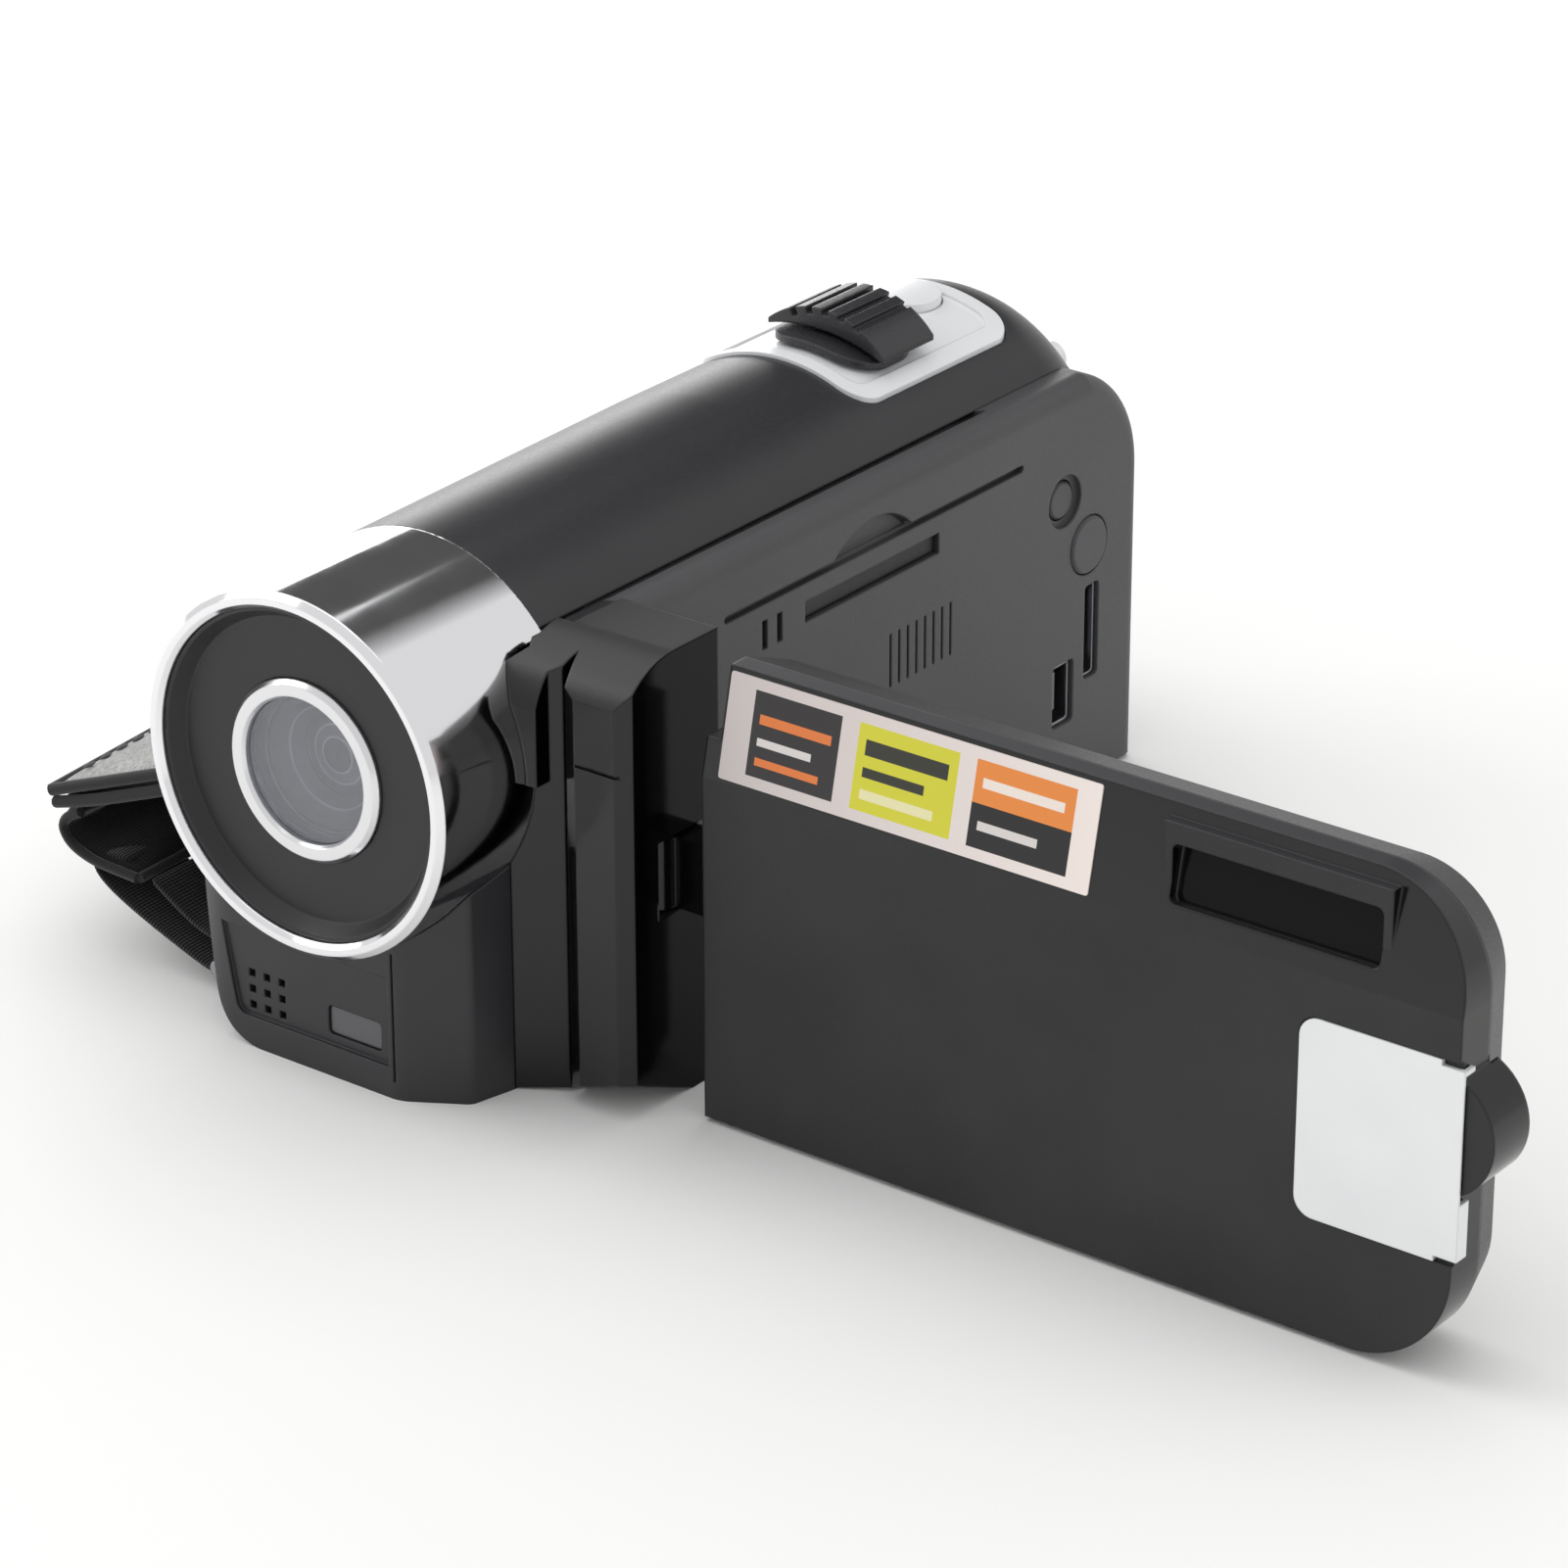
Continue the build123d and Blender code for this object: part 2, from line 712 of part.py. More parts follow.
# ---- front cover: chin, and the collar between the sleeve and the screen-side shell ----
def chin_plan(inset, rear):
    """The chin seen from above, drawn in from its outer face by an inset."""
    left = -hood_radius - 1 + inset
    front = chin_front + inset
    right = chin_right - inset
    turn = (16.6 - inset, chin_front + 4.0 + inset / 2)
    bend = (10.0, front)
    with BuildSketch(Plane.XY) as plan:
        with BuildLine():
            Polyline((left, rear), (left, front), bend, turn, (right, ear_front), (right, rear), close=True)
        make_face()
        for corner, radius in (((left, front), 9 - inset), (turn, 1.6), (bend, 4)):
            fillet(plan.vertices().sort_by_distance(corner)[0], radius)
    return plan.sketch


with BuildPart() as chin_cavity:
    extrude(cavity_section(across(hood_front)), amount=hood_front - chin_front)
    extrude(chin_plan(wall, hood_front), amount=shelf_height, mode=Mode.INTERSECT)

with BuildPart() as front_cover:
    extrude(body_section(across(hood_front)), amount=hood_front - chin_front)
    extrude(chin_plan(0, hood_front), amount=axis_height, mode=Mode.INTERSECT)
    with BuildSketch(across(hood_front)) as collar_face:
        with Locations((0, axis_height)):
            Circle(collar_radius)
        with BuildLine():
            Polyline(
                (0, axis_height),
                (chin_right, axis_height - collar_radius),
                (chin_right, axis_height),
                close=True,
            )
        make_face(mode=Mode.INTERSECT)
    extrude(collar_face.sketch, amount=hood_front - ear_front)
    bar("Y", chin_front - 1, hood_front + 1, (0, axis_height), sleeve_seat, mode=Mode.SUBTRACT)
    add(chin_cavity.part, mode=Mode.SUBTRACT)
    # shallow field for the microphone and the lamp, with a border on its left and below
    with BuildSketch(across(chin_front + field_depth)) as field:
        with BuildLine():
            Polyline(
                (-14.6, 14.0),
                (-12.6, 3.6),
                (8.6, 3.6),
                (8.6, 14.0),
                close=True,
            )
        make_face()
        fillet(field.vertices().sort_by_distance((-12.6, 3.6))[0], 1.5)
    extrude(field.sketch, amount=field_depth + 1, mode=Mode.SUBTRACT)
    with Locations((mic_x, chin_front, mic_z)):
        with GridLocations(2.1, 0, 3, 1):
            for row in (-1.9, 0, 1.9):
                with Locations((0, 0, row)):
                    Box(0.9, 4 * wall, 0.9, mode=Mode.SUBTRACT)
    round_block(
        across(chin_inner + 1),
        (lamp_x, lamp_z),
        grown(lamp_size, seat_gap),
        0.6,
        wall + 2,
        mode=Mode.SUBTRACT,
    )
    bar("X", lug_x, -10, (front_lug[0] + leg_inset, lug_z), lug_wire, mode=Mode.SUBTRACT)
    slab((chin_seam, chin_front - 1, 2.0), (chin_seam + 0.3, chin_front + 0.4, 17.0), mode=Mode.SUBTRACT)
    # posts for the lamp board
    for post_x in (lamp_x - 3.4, lamp_x + 3.4):
        slab((post_x - 0.9, chin_inner - 0.1, lamp_z + 2.3), (post_x + 0.9, lamp_board_y, lamp_z + 4.1))
finish(front_cover, "front_cover")

# ---- lens: sleeve, face ring, trim ring, glass, barrel and its elements ----
face_ring_back = face_y + 2.0
with BuildPart() as lens_sleeve:
    with BuildSketch(Plane.YZ) as sleeve_half:
        with BuildLine():
            Polyline(
                (lens_front, axis_height + sleeve_bore),
                (lens_front, axis_height + sleeve_radius),
                (hood_front, axis_height + sleeve_radius),
                (hood_front, axis_height + sleeve_bore),
                close=True,
            )
        make_face()
        rims = sleeve_half.vertices().group_by(Axis.X)[0].sort_by(Axis.Y)
        chamfer(rims[-1], 0.7)
        chamfer(rims[0], 0.5)
    revolve(sleeve_half.sketch, optical_axis)
finish(lens_sleeve, "lens_sleeve")

with BuildPart() as lens_face_ring:
    ring_radius = sleeve_bore - running_clearance
    revolve(
        turned(
            [
                (face_ring_back, trim_radius + running_clearance),
                (face_y, trim_radius + running_clearance),
                (face_y, ring_radius - 1.5),
                (lens_front + 0.9, ring_radius - 0.4),
                (lens_front + 0.9, ring_radius),
                (face_ring_back, ring_radius),
            ]
        ),
        optical_axis,
    )
finish(lens_face_ring, "lens_face_ring")

with BuildPart() as lens_trim_ring:
    revolve(
        turned(
            [
                (face_ring_back, trim_bore),
                (face_y - 0.5, trim_bore),
                (face_y - 0.9, trim_bore + 0.3),
                (face_y - 0.9, trim_radius - 0.5),
                (face_y - 0.4, trim_radius),
                (face_ring_back, trim_radius),
            ]
        ),
        optical_axis,
    )
finish(lens_trim_ring, "lens_trim_ring")

glass_y = face_y + 0.1
with BuildPart() as front_glass:
    bar("Y", glass_y, glass_y + 1.2, (0, axis_height), trim_bore - running_clearance)
finish(front_glass, "front_glass")

with BuildPart() as lens_barrel:
    revolve(
        turned(
            [
                (face_ring_back, 7.6),
                (face_ring_back, 13.5),
                (face_ring_back + 1.4, 13.5),
                (face_ring_back + 1.4, barrel_radius),
                (sensor_board_y, barrel_radius),
                (sensor_board_y, rear_lens_radius + running_clearance),
                (rear_lens_y - 2.6, rear_lens_radius + running_clearance),
                (rear_lens_y - 2.6, 4.0),
                (inner_lens_y + 3.0, 4.0),
                (inner_lens_y + 3.0, inner_lens_radius + running_clearance),
                (inner_lens_y - 0.4, inner_lens_radius + running_clearance),
                (face_ring_back + 1.2, 6.6),
                (face_ring_back + 1.2, 7.6),
            ]
        ),
        optical_axis,
    )
finish(lens_barrel, "lens_barrel")


def lens_element(name, front, radius, edge, bulge):
    """A glass element with both faces curved outwards."""
    with BuildPart() as element:
        with BuildSketch(Plane.YZ) as half:
            with BuildLine():
                top = axis_height + radius
                foot = axis_height - radius
                ThreePointArc((front, foot), (front - bulge, axis_height), (front, top))
                Line((front, top), (front + edge, top))
                ThreePointArc((front + edge, top), (front + edge + bulge, axis_height), (front + edge, foot))
                Line((front + edge, foot), (front, foot))
            make_face()
            with Locations((front, axis_height)):
                Rectangle(4 * radius, 2 * radius, align=(Align.CENTER, Align.MIN), mode=Mode.INTERSECT)
        revolve(half.sketch, optical_axis)
    finish(element, name)


lens_element("inner_lens", inner_lens_y, inner_lens_radius, 2.6, 0.9)
lens_element("rear_lens", rear_lens_y - 2.2, rear_lens_radius, 2.2, 0.4)

with BuildPart() as sensor_board:
    slab((-9, sensor_board_y, axis_height - 8.5), (9, sensor_board_y + board_thickness, axis_height + 8.5))
finish(sensor_board, "sensor_board")

with BuildPart() as image_sensor:
    slab((-3, sensor_board_y - 1.0, axis_height - 2.4), (3, sensor_board_y, axis_height + 2.4))
finish(image_sensor, "image_sensor")

# ---- chin fittings ----
with BuildPart() as light_window:
    round_block(across(chin_inner), (lamp_x, lamp_z), lamp_size, 0.5, wall - field_depth - 0.3)
finish(light_window, "light_window")

with BuildPart() as lamp_board:
    slab(
        (lamp_x - 5, lamp_board_y, lamp_z - 3),
        (lamp_x + 5, lamp_board_y + board_thickness, lamp_z + 4.6),
    )
    bar("Y", chin_inner + 0.2, lamp_board_y, (lamp_x, lamp_z), 1.3)
finish(lamp_board, "lamp_board")

with BuildPart() as microphone:
    bar("Y", chin_inner, chin_inner + 2.0, (mic_x, mic_z), 3.2)
finish(microphone, "microphone")

# ---- control plate, zoom lever and shutter button on the hood ----
with BuildPart() as zoom_plate:
    add(hood_patch(plate_centre, plate_size, plate_corner, plate_seat, hood_radius + plate_proud))
    # raised border
    add(
        hood_patch(
            plate_centre,
            grown(plate_size, -2.0),
            plate_corner - 1.6,
            hood_radius + plate_proud - 0.3,
            hood_radius + plate_proud + 1,
        ),
        mode=Mode.SUBTRACT,
    )
    add(lever_opening, mode=Mode.SUBTRACT)
    add(shutter_opening, mode=Mode.SUBTRACT)
finish(zoom_plate, "zoom_plate")

lever_base = hood_radius + plate_proud + 0.2
cap_under = lever_base + 1.4  # radius of the cap's underside about the optical axis
cap_arc = (cap_half_width**2 + cap_rise**2) / (2 * cap_rise)


def over_hood(x, radius):
    """The point at x on a circle about the optical axis, above it."""
    return (x, axis_height + sqrt(radius**2 - x**2))


with BuildPart() as zoom_lever:
    # oval foot that slides on the plate, and the stem through it
    add(hood_patch((lever_x, lever_y - 1.6), (14.4, 12.0), 4.6, lever_base, lever_base + 0.8))
    add(hood_patch((lever_x, lever_y), (5.0, 4.0), 0.5, hood_bore - 2.2, cap_under + 0.5))
    # arched finger cap, thin at both ends
    left_end = over_hood(lever_x - cap_half_width, cap_under)
    right_end = over_hood(lever_x + cap_half_width, cap_under)
    cap_top = axis_height + cap_under + cap_thickness
    with BuildSketch(across(lever_y + cap_depth / 2)) as cap:
        with BuildLine():
            ThreePointArc(left_end, over_hood(lever_x, cap_under), right_end)
            Line(right_end, (right_end[0], right_end[1] + 0.6))
            ThreePointArc((right_end[0], right_end[1] + 0.6), (lever_x, cap_top), (left_end[0], left_end[1] + 0.6))
            Line((left_end[0], left_end[1] + 0.6), left_end)
        make_face()
    extrude(cap.sketch, amount=cap_depth)
    # ridges along the cap
    for groove in range(-2, 3):
        turn = degrees(groove * cap_ridge_pitch / cap_arc)
        with Locations(Location((lever_x, lever_y, cap_top - cap_arc), (0, turn, 0))):
            with Locations((0, 0, cap_arc)):
                Box(0.9, 2 * cap_depth, 1.4, mode=Mode.SUBTRACT)
finish(zoom_lever, "zoom_lever")

with BuildPart() as shutter_button:
    add(
        hood_patch(
            (shutter_x, shutter_y),
            shutter_size,
            shutter_corner - 0.1,
            hood_bore - 1.2,
            hood_radius + plate_proud + 0.6,
        )
    )
    add(
        hood_patch(
            (shutter_x, shutter_y),
            grown(shutter_size, 1.0),
            shutter_corner + 0.5,
            hood_bore - 1.2,
            hood_bore - 0.1,
        )
    )
finish(shutter_button, "shutter_button")

switch_height = 1.6
button_foot = axis_height + hood_bore - 1.2
with BuildPart() as top_board:
    slab((-9.6, plate_front + 0.6, top_board_z - board_thickness), (9.6, plate_front + 28.0, top_board_z))
finish(top_board, "top_board")

with BuildPart() as top_switches:
    slab((shutter_x - 3, shutter_y - 3, top_board_z), (shutter_x + 3, shutter_y + 3, top_board_z + switch_height))
    bar("Z", top_board_z + switch_height, button_foot - button_travel - 0.4, (shutter_x, shutter_y), 1.2)
    slab((lever_x - 5, lever_y - 2, top_board_z), (lever_x + 5, lever_y + 2, top_board_z + 1.2))
finish(top_switches, "top_switches")

# ---- boards, card and ports inside the screen side ----
with BuildPart() as main_board:
    slab((-14.0, -9.0, main_board_z), (17.0, 37.0, main_board_z + board_thickness))
finish(main_board, "main_board")

card_outer = side_face - 0.6
socket_wall = 0.5
with BuildPart() as card_socket:
    slab(
        (card_outer - card_length - 3.0, slot_centre_y - card_width / 2 - 1.4, main_board_z + board_thickness),
        (inner_face - 0.6, slot_centre_y + card_width / 2 + 1.4, slot_z + card_thickness / 2 + card_play + socket_wall),
    )
    slab(
        (
            card_outer - card_length - button_travel - card_play,
            slot_centre_y - card_width / 2 - card_play,
            slot_z - card_thickness / 2 - card_play,
        ),
        (side_face, slot_centre_y + card_width / 2 + card_play, slot_z + card_thickness / 2 + card_play),
        mode=Mode.SUBTRACT,
    )
finish(card_socket, "card_socket")

with BuildPart() as memory_card:
    with BuildSketch(Plane.XY.offset(slot_z - card_thickness / 2)) as card_face:
        with BuildLine():
            Polyline(
                (card_outer, slot_centre_y - card_width / 2),
                (card_outer, slot_centre_y + card_width / 2),
                (card_outer - card_length, slot_centre_y + card_width / 2),
                (card_outer - card_length, slot_centre_y - card_width / 2 + 4),
                (card_outer - card_length + 4, slot_centre_y - card_width / 2),
                close=True,
            )
        make_face()
    extrude(card_face.sketch, amount=card_thickness)
    # grip step along the outer end
    slab(
        (card_outer - 2.2, slot_centre_y - card_width / 2 + 3, slot_z + card_thickness / 2 - 0.3),
        (card_outer - 0.7, slot_centre_y + card_width / 2 - 3, slot_z + card_thickness),
        mode=Mode.SUBTRACT,
    )
finish(memory_card, "memory_card")

with BuildPart() as side_board:
    slab((side_board_x, 39.5, 5.5), (side_board_x + board_thickness, 59.0, axis_height + 5.5))
finish(side_board, "side_board")


def port(name, place, size, opening):
    """A cable socket: a metal shell standing on the side board, open outwards, with a tongue inside."""
    with BuildPart() as socket:
        depth = side_face - 0.5 - side_board_x - board_thickness
        round_block(alongside(side_board_x + board_thickness), place, size, port_corner - 0.1, depth)
        round_block(
            alongside(side_face - 5.5),
            place,
            grown(size, -opening),
            port_corner - 0.3,
            6,
            mode=Mode.SUBTRACT,
        )
        slab(
            (side_face - 6, place[0] - 0.35, place[1] - size[1] / 2 + 1.5),
            (side_face - 1.4, place[0] + 0.35, place[1] + size[1] / 2 - 1.5),
        )
    finish(socket, name)


port("usb_connector", usb_place, usb_size, 0.45)
port("hdmi_connector", hdmi_place, hdmi_size, 0.35)


def side_button(name, place, radius, proud):
    """A round push button through the side wall, kept in by a flange behind the wall."""
    with BuildPart() as button:
        bar("X", inner_face - 1.0, side_face + proud, place, radius)
        bar("X", inner_face - 1.0, inner_face - 0.05, place, radius + 0.7)
        chamfer(button.edges().group_by(Axis.X)[-1], 0.3)
    finish(button, name)


side_button("mode_button", mode_place, mode_radius, -0.45)
side_button("playback_button", play_place, play_radius, 0.25)

with BuildPart() as side_switches:
    board_face = side_board_x + board_thickness
    for centre_y, centre_z in (mode_place, play_place):
        slab((board_face, centre_y - 2.4, centre_z - 2.4), (board_face + 3.6, centre_y + 2.4, centre_z + 2.4))
        bar("X", board_face + 3.6, inner_face - 1.0 - button_travel - 0.1, (centre_y, centre_z), 1.1)
finish(side_switches, "side_switches")

with BuildPart() as speaker:
    bar("X", inner_face - 3.2, inner_face, (speaker_y, speaker_z), speaker_radius)
    bar("X", inner_face - 0.8, inner_face + 0.1, (speaker_y, speaker_z), speaker_radius - 1.2, mode=Mode.SUBTRACT)
finish(speaker, "speaker")

# ---- rear control panel ----
panel_proud = 0.5
rear_panel_back = rear_y - wall
with BuildPart() as rear_panel:
    round_block(
        across(rear_y + panel_proud),
        rear_panel_centre,
        rear_panel_size,
        rear_panel_corner - 0.1,
        wall + panel_proud,
    )
    chamfer(rear_panel.edges().group_by(Axis.Y)[-1], 0.4)
    for place, radius in ((record_place, record_radius), (power_place, power_radius)):
        bar("Y", rear_y - wall - 1, rear_y + 2, place, radius + button_gap, mode=Mode.SUBTRACT)
    bar("Y", rear_y - wall - 1, rear_y + 2, lamp_place, 0.9, mode=Mode.SUBTRACT)
    bar("Y", rear_y, rear_y + 2, record_place, record_radius + 1.3, mode=Mode.SUBTRACT)
    # posts for the rear board
    post_x = rear_panel_centre[0] - 6.8
    for post_z in (rear_panel_centre[1] - 12, rear_panel_centre[1] + 12):
        slab((post_x - 1, rear_board_y, post_z - 1), (post_x + 1, rear_panel_back + 0.1, post_z + 1))
finish(rear_panel, "rear_panel")

with BuildPart() as rear_cap:
    bar("Y", rear_y - cap_seat, rear_y + 0.9, cap_place, cap_radius)
    chamfer(rear_cap.edges().group_by(Axis.Y)[-1], 0.4)
finish(rear_cap, "rear_cap")

with BuildPart() as record_ring:
    bar("Y", rear_y, rear_y + panel_proud + 0.3, record_place, record_radius + 1.2)
    bar("Y", rear_y - 1, rear_y + 2, record_place, record_radius + button_gap, mode=Mode.SUBTRACT)
    chamfer(record_ring.edges().group_by(Axis.Y)[-1], 0.25)
finish(record_ring, "record_ring")


def rear_button(name, place, radius, proud):
    """A round push button through the rear panel, with a flange inside."""
    with BuildPart() as button:
        bar("Y", rear_panel_back - 0.9, rear_y + proud, place, radius)
        bar("Y", rear_panel_back - 0.9, rear_panel_back - 0.05, place, radius + 0.6)
        chamfer(button.edges().group_by(Axis.Y)[-1], 0.3)
    finish(button, name)


rear_button("record_button", record_place, record_radius, panel_proud + button_travel + 0.3)
rear_button("power_button", power_place, power_radius, panel_proud + button_travel + 0.2)

with BuildPart() as status_lens:
    bar("Y", rear_board_y, rear_y + panel_proud, lamp_place, 0.85)
finish(status_lens, "status_lens")

with BuildPart() as rear_board:
    slab(
        (rear_panel_centre[0] - 8.2, rear_board_y - board_thickness, rear_panel_centre[1] - 15),
        (rear_panel_centre[0] + 8.2, rear_board_y, rear_panel_centre[1] + 15),
    )
    for centre_x, centre_z in (record_place, power_place):
        slab((centre_x - 2, rear_board_y, centre_z - 2), (centre_x + 2, rear_board_y + 1.0, centre_z + 2))
finish(rear_board, "rear_board")

# ---- battery, its contacts and its door, tripod nut, screws ----
battery_left = door_left + 1.2
battery_front = door_front + 1.2
battery_floor = wall + 0.2
battery_top = battery_floor + battery_size[2]
with BuildPart() as battery_pack:
    slab(
        (battery_left, battery_front, battery_floor),
        (battery_left + battery_size[0], battery_front + battery_size[1], battery_top),
    )
    fillet(battery_pack.edges().filter_by(Axis.Z), 1.2)
finish(battery_pack, "battery_pack")

with BuildPart() as battery_contacts:
    slab(
        (battery_left + 1, battery_front + 6, battery_top + seat_gap),
        (battery_left + battery_size[0] - 1, battery_front + 18, main_board_z),
    )
finish(battery_contacts, "battery_contacts")

with BuildPart() as battery_door:
    slab((door_left, door_front, 0), (door_left + door_width, rear_y, wall))
    # thumb ridges near the front end
    for ridge in range(5):
        slab(
            (door_left + 2.5, door_front + 3 + 1.6 * ridge, -1),
            (door_left + door_width - 2.5, door_front + 3.8 + 1.6 * ridge, 0.35),
            mode=Mode.SUBTRACT,
        )
finish(battery_door, "battery_door")

with BuildPart() as tripod_nut:
    bar("Z", 0, nut_height, (0, 0), nut_radius)
    bar("Z", -1, socket_depth, (0, 0), socket_radius, mode=Mode.SUBTRACT)
finish(tripod_nut, "tripod_nut")

with BuildPart() as body_screws:
    places = [(left_screw_x, y) for y in left_screw_ys] + [(right_screw_x, y) for y in right_screw_ys]
    for place in places:
        bar("Z", 0.1, screw_head_depth, place, screw_head_radius)
        bar("Z", screw_head_depth, 6.5, place, screw_shank_radius)
finish(body_screws, "body_screws")

# ---- two-axis screen hinge ----
with BuildPart() as hinge_pin:
    bar("Z", swivel_z - 15.5, swivel_z + 15.5, (hinge_x, hinge_y), hinge_pin_radius)
finish(hinge_pin, "hinge_pin")

arm_end = panel_start - 0.4
with BuildPart() as hinge_turret:
    low = swivel_z - turret_half_height
    high = swivel_z + turret_half_height
    bar("Z", low, high, (hinge_x, hinge_y), turret_radius)
    slab((hinge_x, swivel_y - swivel_radius - 0.6, low), (arm_end, swivel_y + swivel_radius + 0.6, high))
    fillet(hinge_turret.edges().filter_by(Axis.X).sort_by(Axis.Y)[-2:], 1.2)
    bar("Z", low - 1, high + 1, (hinge_x, hinge_y), hinge_pin_radius + running_clearance, mode=Mode.SUBTRACT)
    bar("X", shaft_start, arm_end + 1, (swivel_y, swivel_z), swivel_radius, mode=Mode.SUBTRACT)
finish(hinge_turret, "hinge_turret")

with BuildPart() as swivel_shaft:
    bar("X", shaft_start, shaft_end, (swivel_y, swivel_z), swivel_radius)
finish(swivel_shaft, "swivel_shaft")

with BuildPart() as shaft_clip:
    bar("X", shaft_end - 1.2, shaft_end - 0.4, (swivel_y, swivel_z), swivel_radius + 0.9)
    bar("X", shaft_end - 2, shaft_end + 1, (swivel_y, swivel_z), swivel_radius, mode=Mode.SUBTRACT)
finish(shaft_clip, "shaft_clip")

with BuildPart() as swivel_bracket:
    slab(
        (panel_start + panel_wall + 0.1, swivel_y - 3.2, swivel_z - 7),
        (shaft_end - 1.3, panel_inner - bezel_face, swivel_z + 7),
    )
    bar(
        "X",
        panel_start,
        shaft_end,
        (swivel_y, swivel_z),
        swivel_radius + running_clearance,
        mode=Mode.SUBTRACT,
    )
finish(swivel_bracket, "swivel_bracket")


# ---- screen panel ----
def panel_outline(plane, inset):
    """The panel seen from its outer face: square at the hinge, rounded at the far end."""
    start = panel_start + inset
    end = panel_end - inset
    low = panel_floor_gap + inset
    top = panel_top - inset
    step = panel_top - step_height + inset
    with BuildSketch(plane) as outline:
        with BuildLine():
            Polyline(
                (start, low),
                (end, low),
                (end, top),
                (start + step_width, top),
                (start + step_width, step),
                (start, step),
                close=True,
            )
        make_face()
        fillet(outline.vertices().sort_by_distance((end, top))[0], far_top_round - inset)
        fillet(outline.vertices().sort_by_distance((end, low))[0], far_low_round - inset)
    return outline.sketch


with BuildPart() as bevel:
    with BuildSketch(alongside(panel_start - 1)) as wedge:
        with BuildLine():
            Polyline(
                (panel_outer - 2, panel_top - bevel_height),
                (panel_outer, panel_top - bevel_height),
                (panel_outer + bevel_depth * 1.25, panel_top + bevel_height * 0.25),
                (panel_outer - 2, panel_top + bevel_height * 0.25),
                close=True,
            )
        make_face()
    extrude(wedge.sketch, amount=panel_length + 2)
bevel_plane = Plane(
    origin=(0, panel_outer, panel_top - bevel_height),
    x_dir=(1, 0, 0),
    z_dir=(0, -bevel_height, bevel_depth),
)
with BuildPart() as cover_hollow:
    extrude(panel_outline(across(swivel_y), panel_wall), amount=panel_thickness / 2 - panel_wall)
    add(bevel.part.moved(Location((0, panel_wall, 0))), mode=Mode.SUBTRACT)

with BuildPart() as lcd_outer_cover:
    extrude(panel_outline(across(swivel_y), 0), amount=panel_thickness / 2)
    add(bevel.part, mode=Mode.SUBTRACT)
    add(cover_hollow.part, mode=Mode.SUBTRACT)
    for screw_z in panel_screw_zs:
        slab(
            (panel_screw_x - 1.8, panel_outer + panel_wall - 0.1, screw_z - 1.8),
            (panel_screw_x + 1.8, panel_inner - bezel_face, screw_z + 1.8),
        )
        bar("Y", panel_inner - 7.5, panel_inner, (panel_screw_x, screw_z), 0.8, mode=Mode.SUBTRACT)
    # recess in the bevelled band, with a floor behind it
    slab(
        (recess_start - 1, panel_outer + 1.0, panel_top - 11),
        (recess_start + recess_length + 1, panel_outer + bevel_depth + panel_wall + 0.6, panel_top - panel_wall + 0.2),
    )
    round_block(
        bevel_plane.offset(-recess_depth),
        (recess_start + recess_length / 2, bevel_height / 2 - 0.6),
        (recess_length, recess_height),
        0.8,
        4,
        mode=Mode.SUBTRACT,
    )
    # seat for the silver plate
    round_block(
        across(panel_outer + thin_plate - 0.1),
        badge_centre,
        grown(badge_size, seat_gap),
        badge_corner,
        2,
        mode=Mode.SUBTRACT,
    )
    # finger tab beyond the far end
    with BuildSketch(across(panel_outer + 0.3 + tab_thickness)) as tab:
        with Locations((panel_end + tab_reach - tab_radius, tab_z)):
            Circle(tab_radius)
        with Locations((panel_end, swivel_z)):
            Rectangle(2 * tab_radius, 3 * tab_radius, align=(Align.MAX, Align.CENTER), mode=Mode.SUBTRACT)
    extrude(tab.sketch, amount=tab_thickness)
    bar("X", panel_start - 1, panel_start + 4, (swivel_y, swivel_z), shaft_hole, mode=Mode.SUBTRACT)
finish(lcd_outer_cover, "lcd_outer_cover")

with BuildPart() as lcd_inner_bezel:
    extrude(panel_outline(across(swivel_y), 0), amount=-panel_thickness / 2, taper=panel_draft)
    extrude(
        panel_outline(across(panel_inner - bezel_face), panel_wall),
        amount=panel_thickness,
        mode=Mode.SUBTRACT,
    )
    round_block(
        across(panel_inner + 1),
        screen_centre,
        grown((screen_width, screen_height), 0.6),
        0.6,
        bezel_face + 2,
        mode=Mode.SUBTRACT,
    )
    round_block(
        across(panel_inner + 1),
        screen_centre,
        grown(window_size, seat_gap),
        1.5,
        window_thickness + 1.1,
        mode=Mode.SUBTRACT,
    )
    bar("X", panel_start - 1, panel_start + 4, (swivel_y, swivel_z), shaft_hole, mode=Mode.SUBTRACT)
    for screw_z in panel_screw_zs:
        bar("Y", panel_inner - 0.9, panel_inner + 1, (panel_screw_x, screw_z), 1.5, mode=Mode.SUBTRACT)
        bar("Y", panel_inner - 5, panel_inner, (panel_screw_x, screw_z), 0.8, mode=Mode.SUBTRACT)
finish(lcd_inner_bezel, "lcd_inner_bezel")

with BuildPart() as panel_screws:
    for screw_z in panel_screw_zs:
        bar("Y", panel_inner - 0.9, panel_inner - 0.1, (panel_screw_x, screw_z), 1.4)
        bar("Y", panel_inner - 7.0, panel_inner - 0.9, (panel_screw_x, screw_z), 0.78)
finish(panel_screws, "panel_screws")

with BuildPart() as lcd_window:
    round_block(across(panel_inner - 0.1), screen_centre, window_size, 1.4, window_thickness)
finish(lcd_window, "lcd_window")

with BuildPart() as lcd_module:
    round_block(
        across(panel_inner - bezel_face),
        screen_centre,
        (screen_width + 6, screen_height + 4.4),
        0.5,
        module_thickness,
    )
finish(lcd_module, "lcd_module")

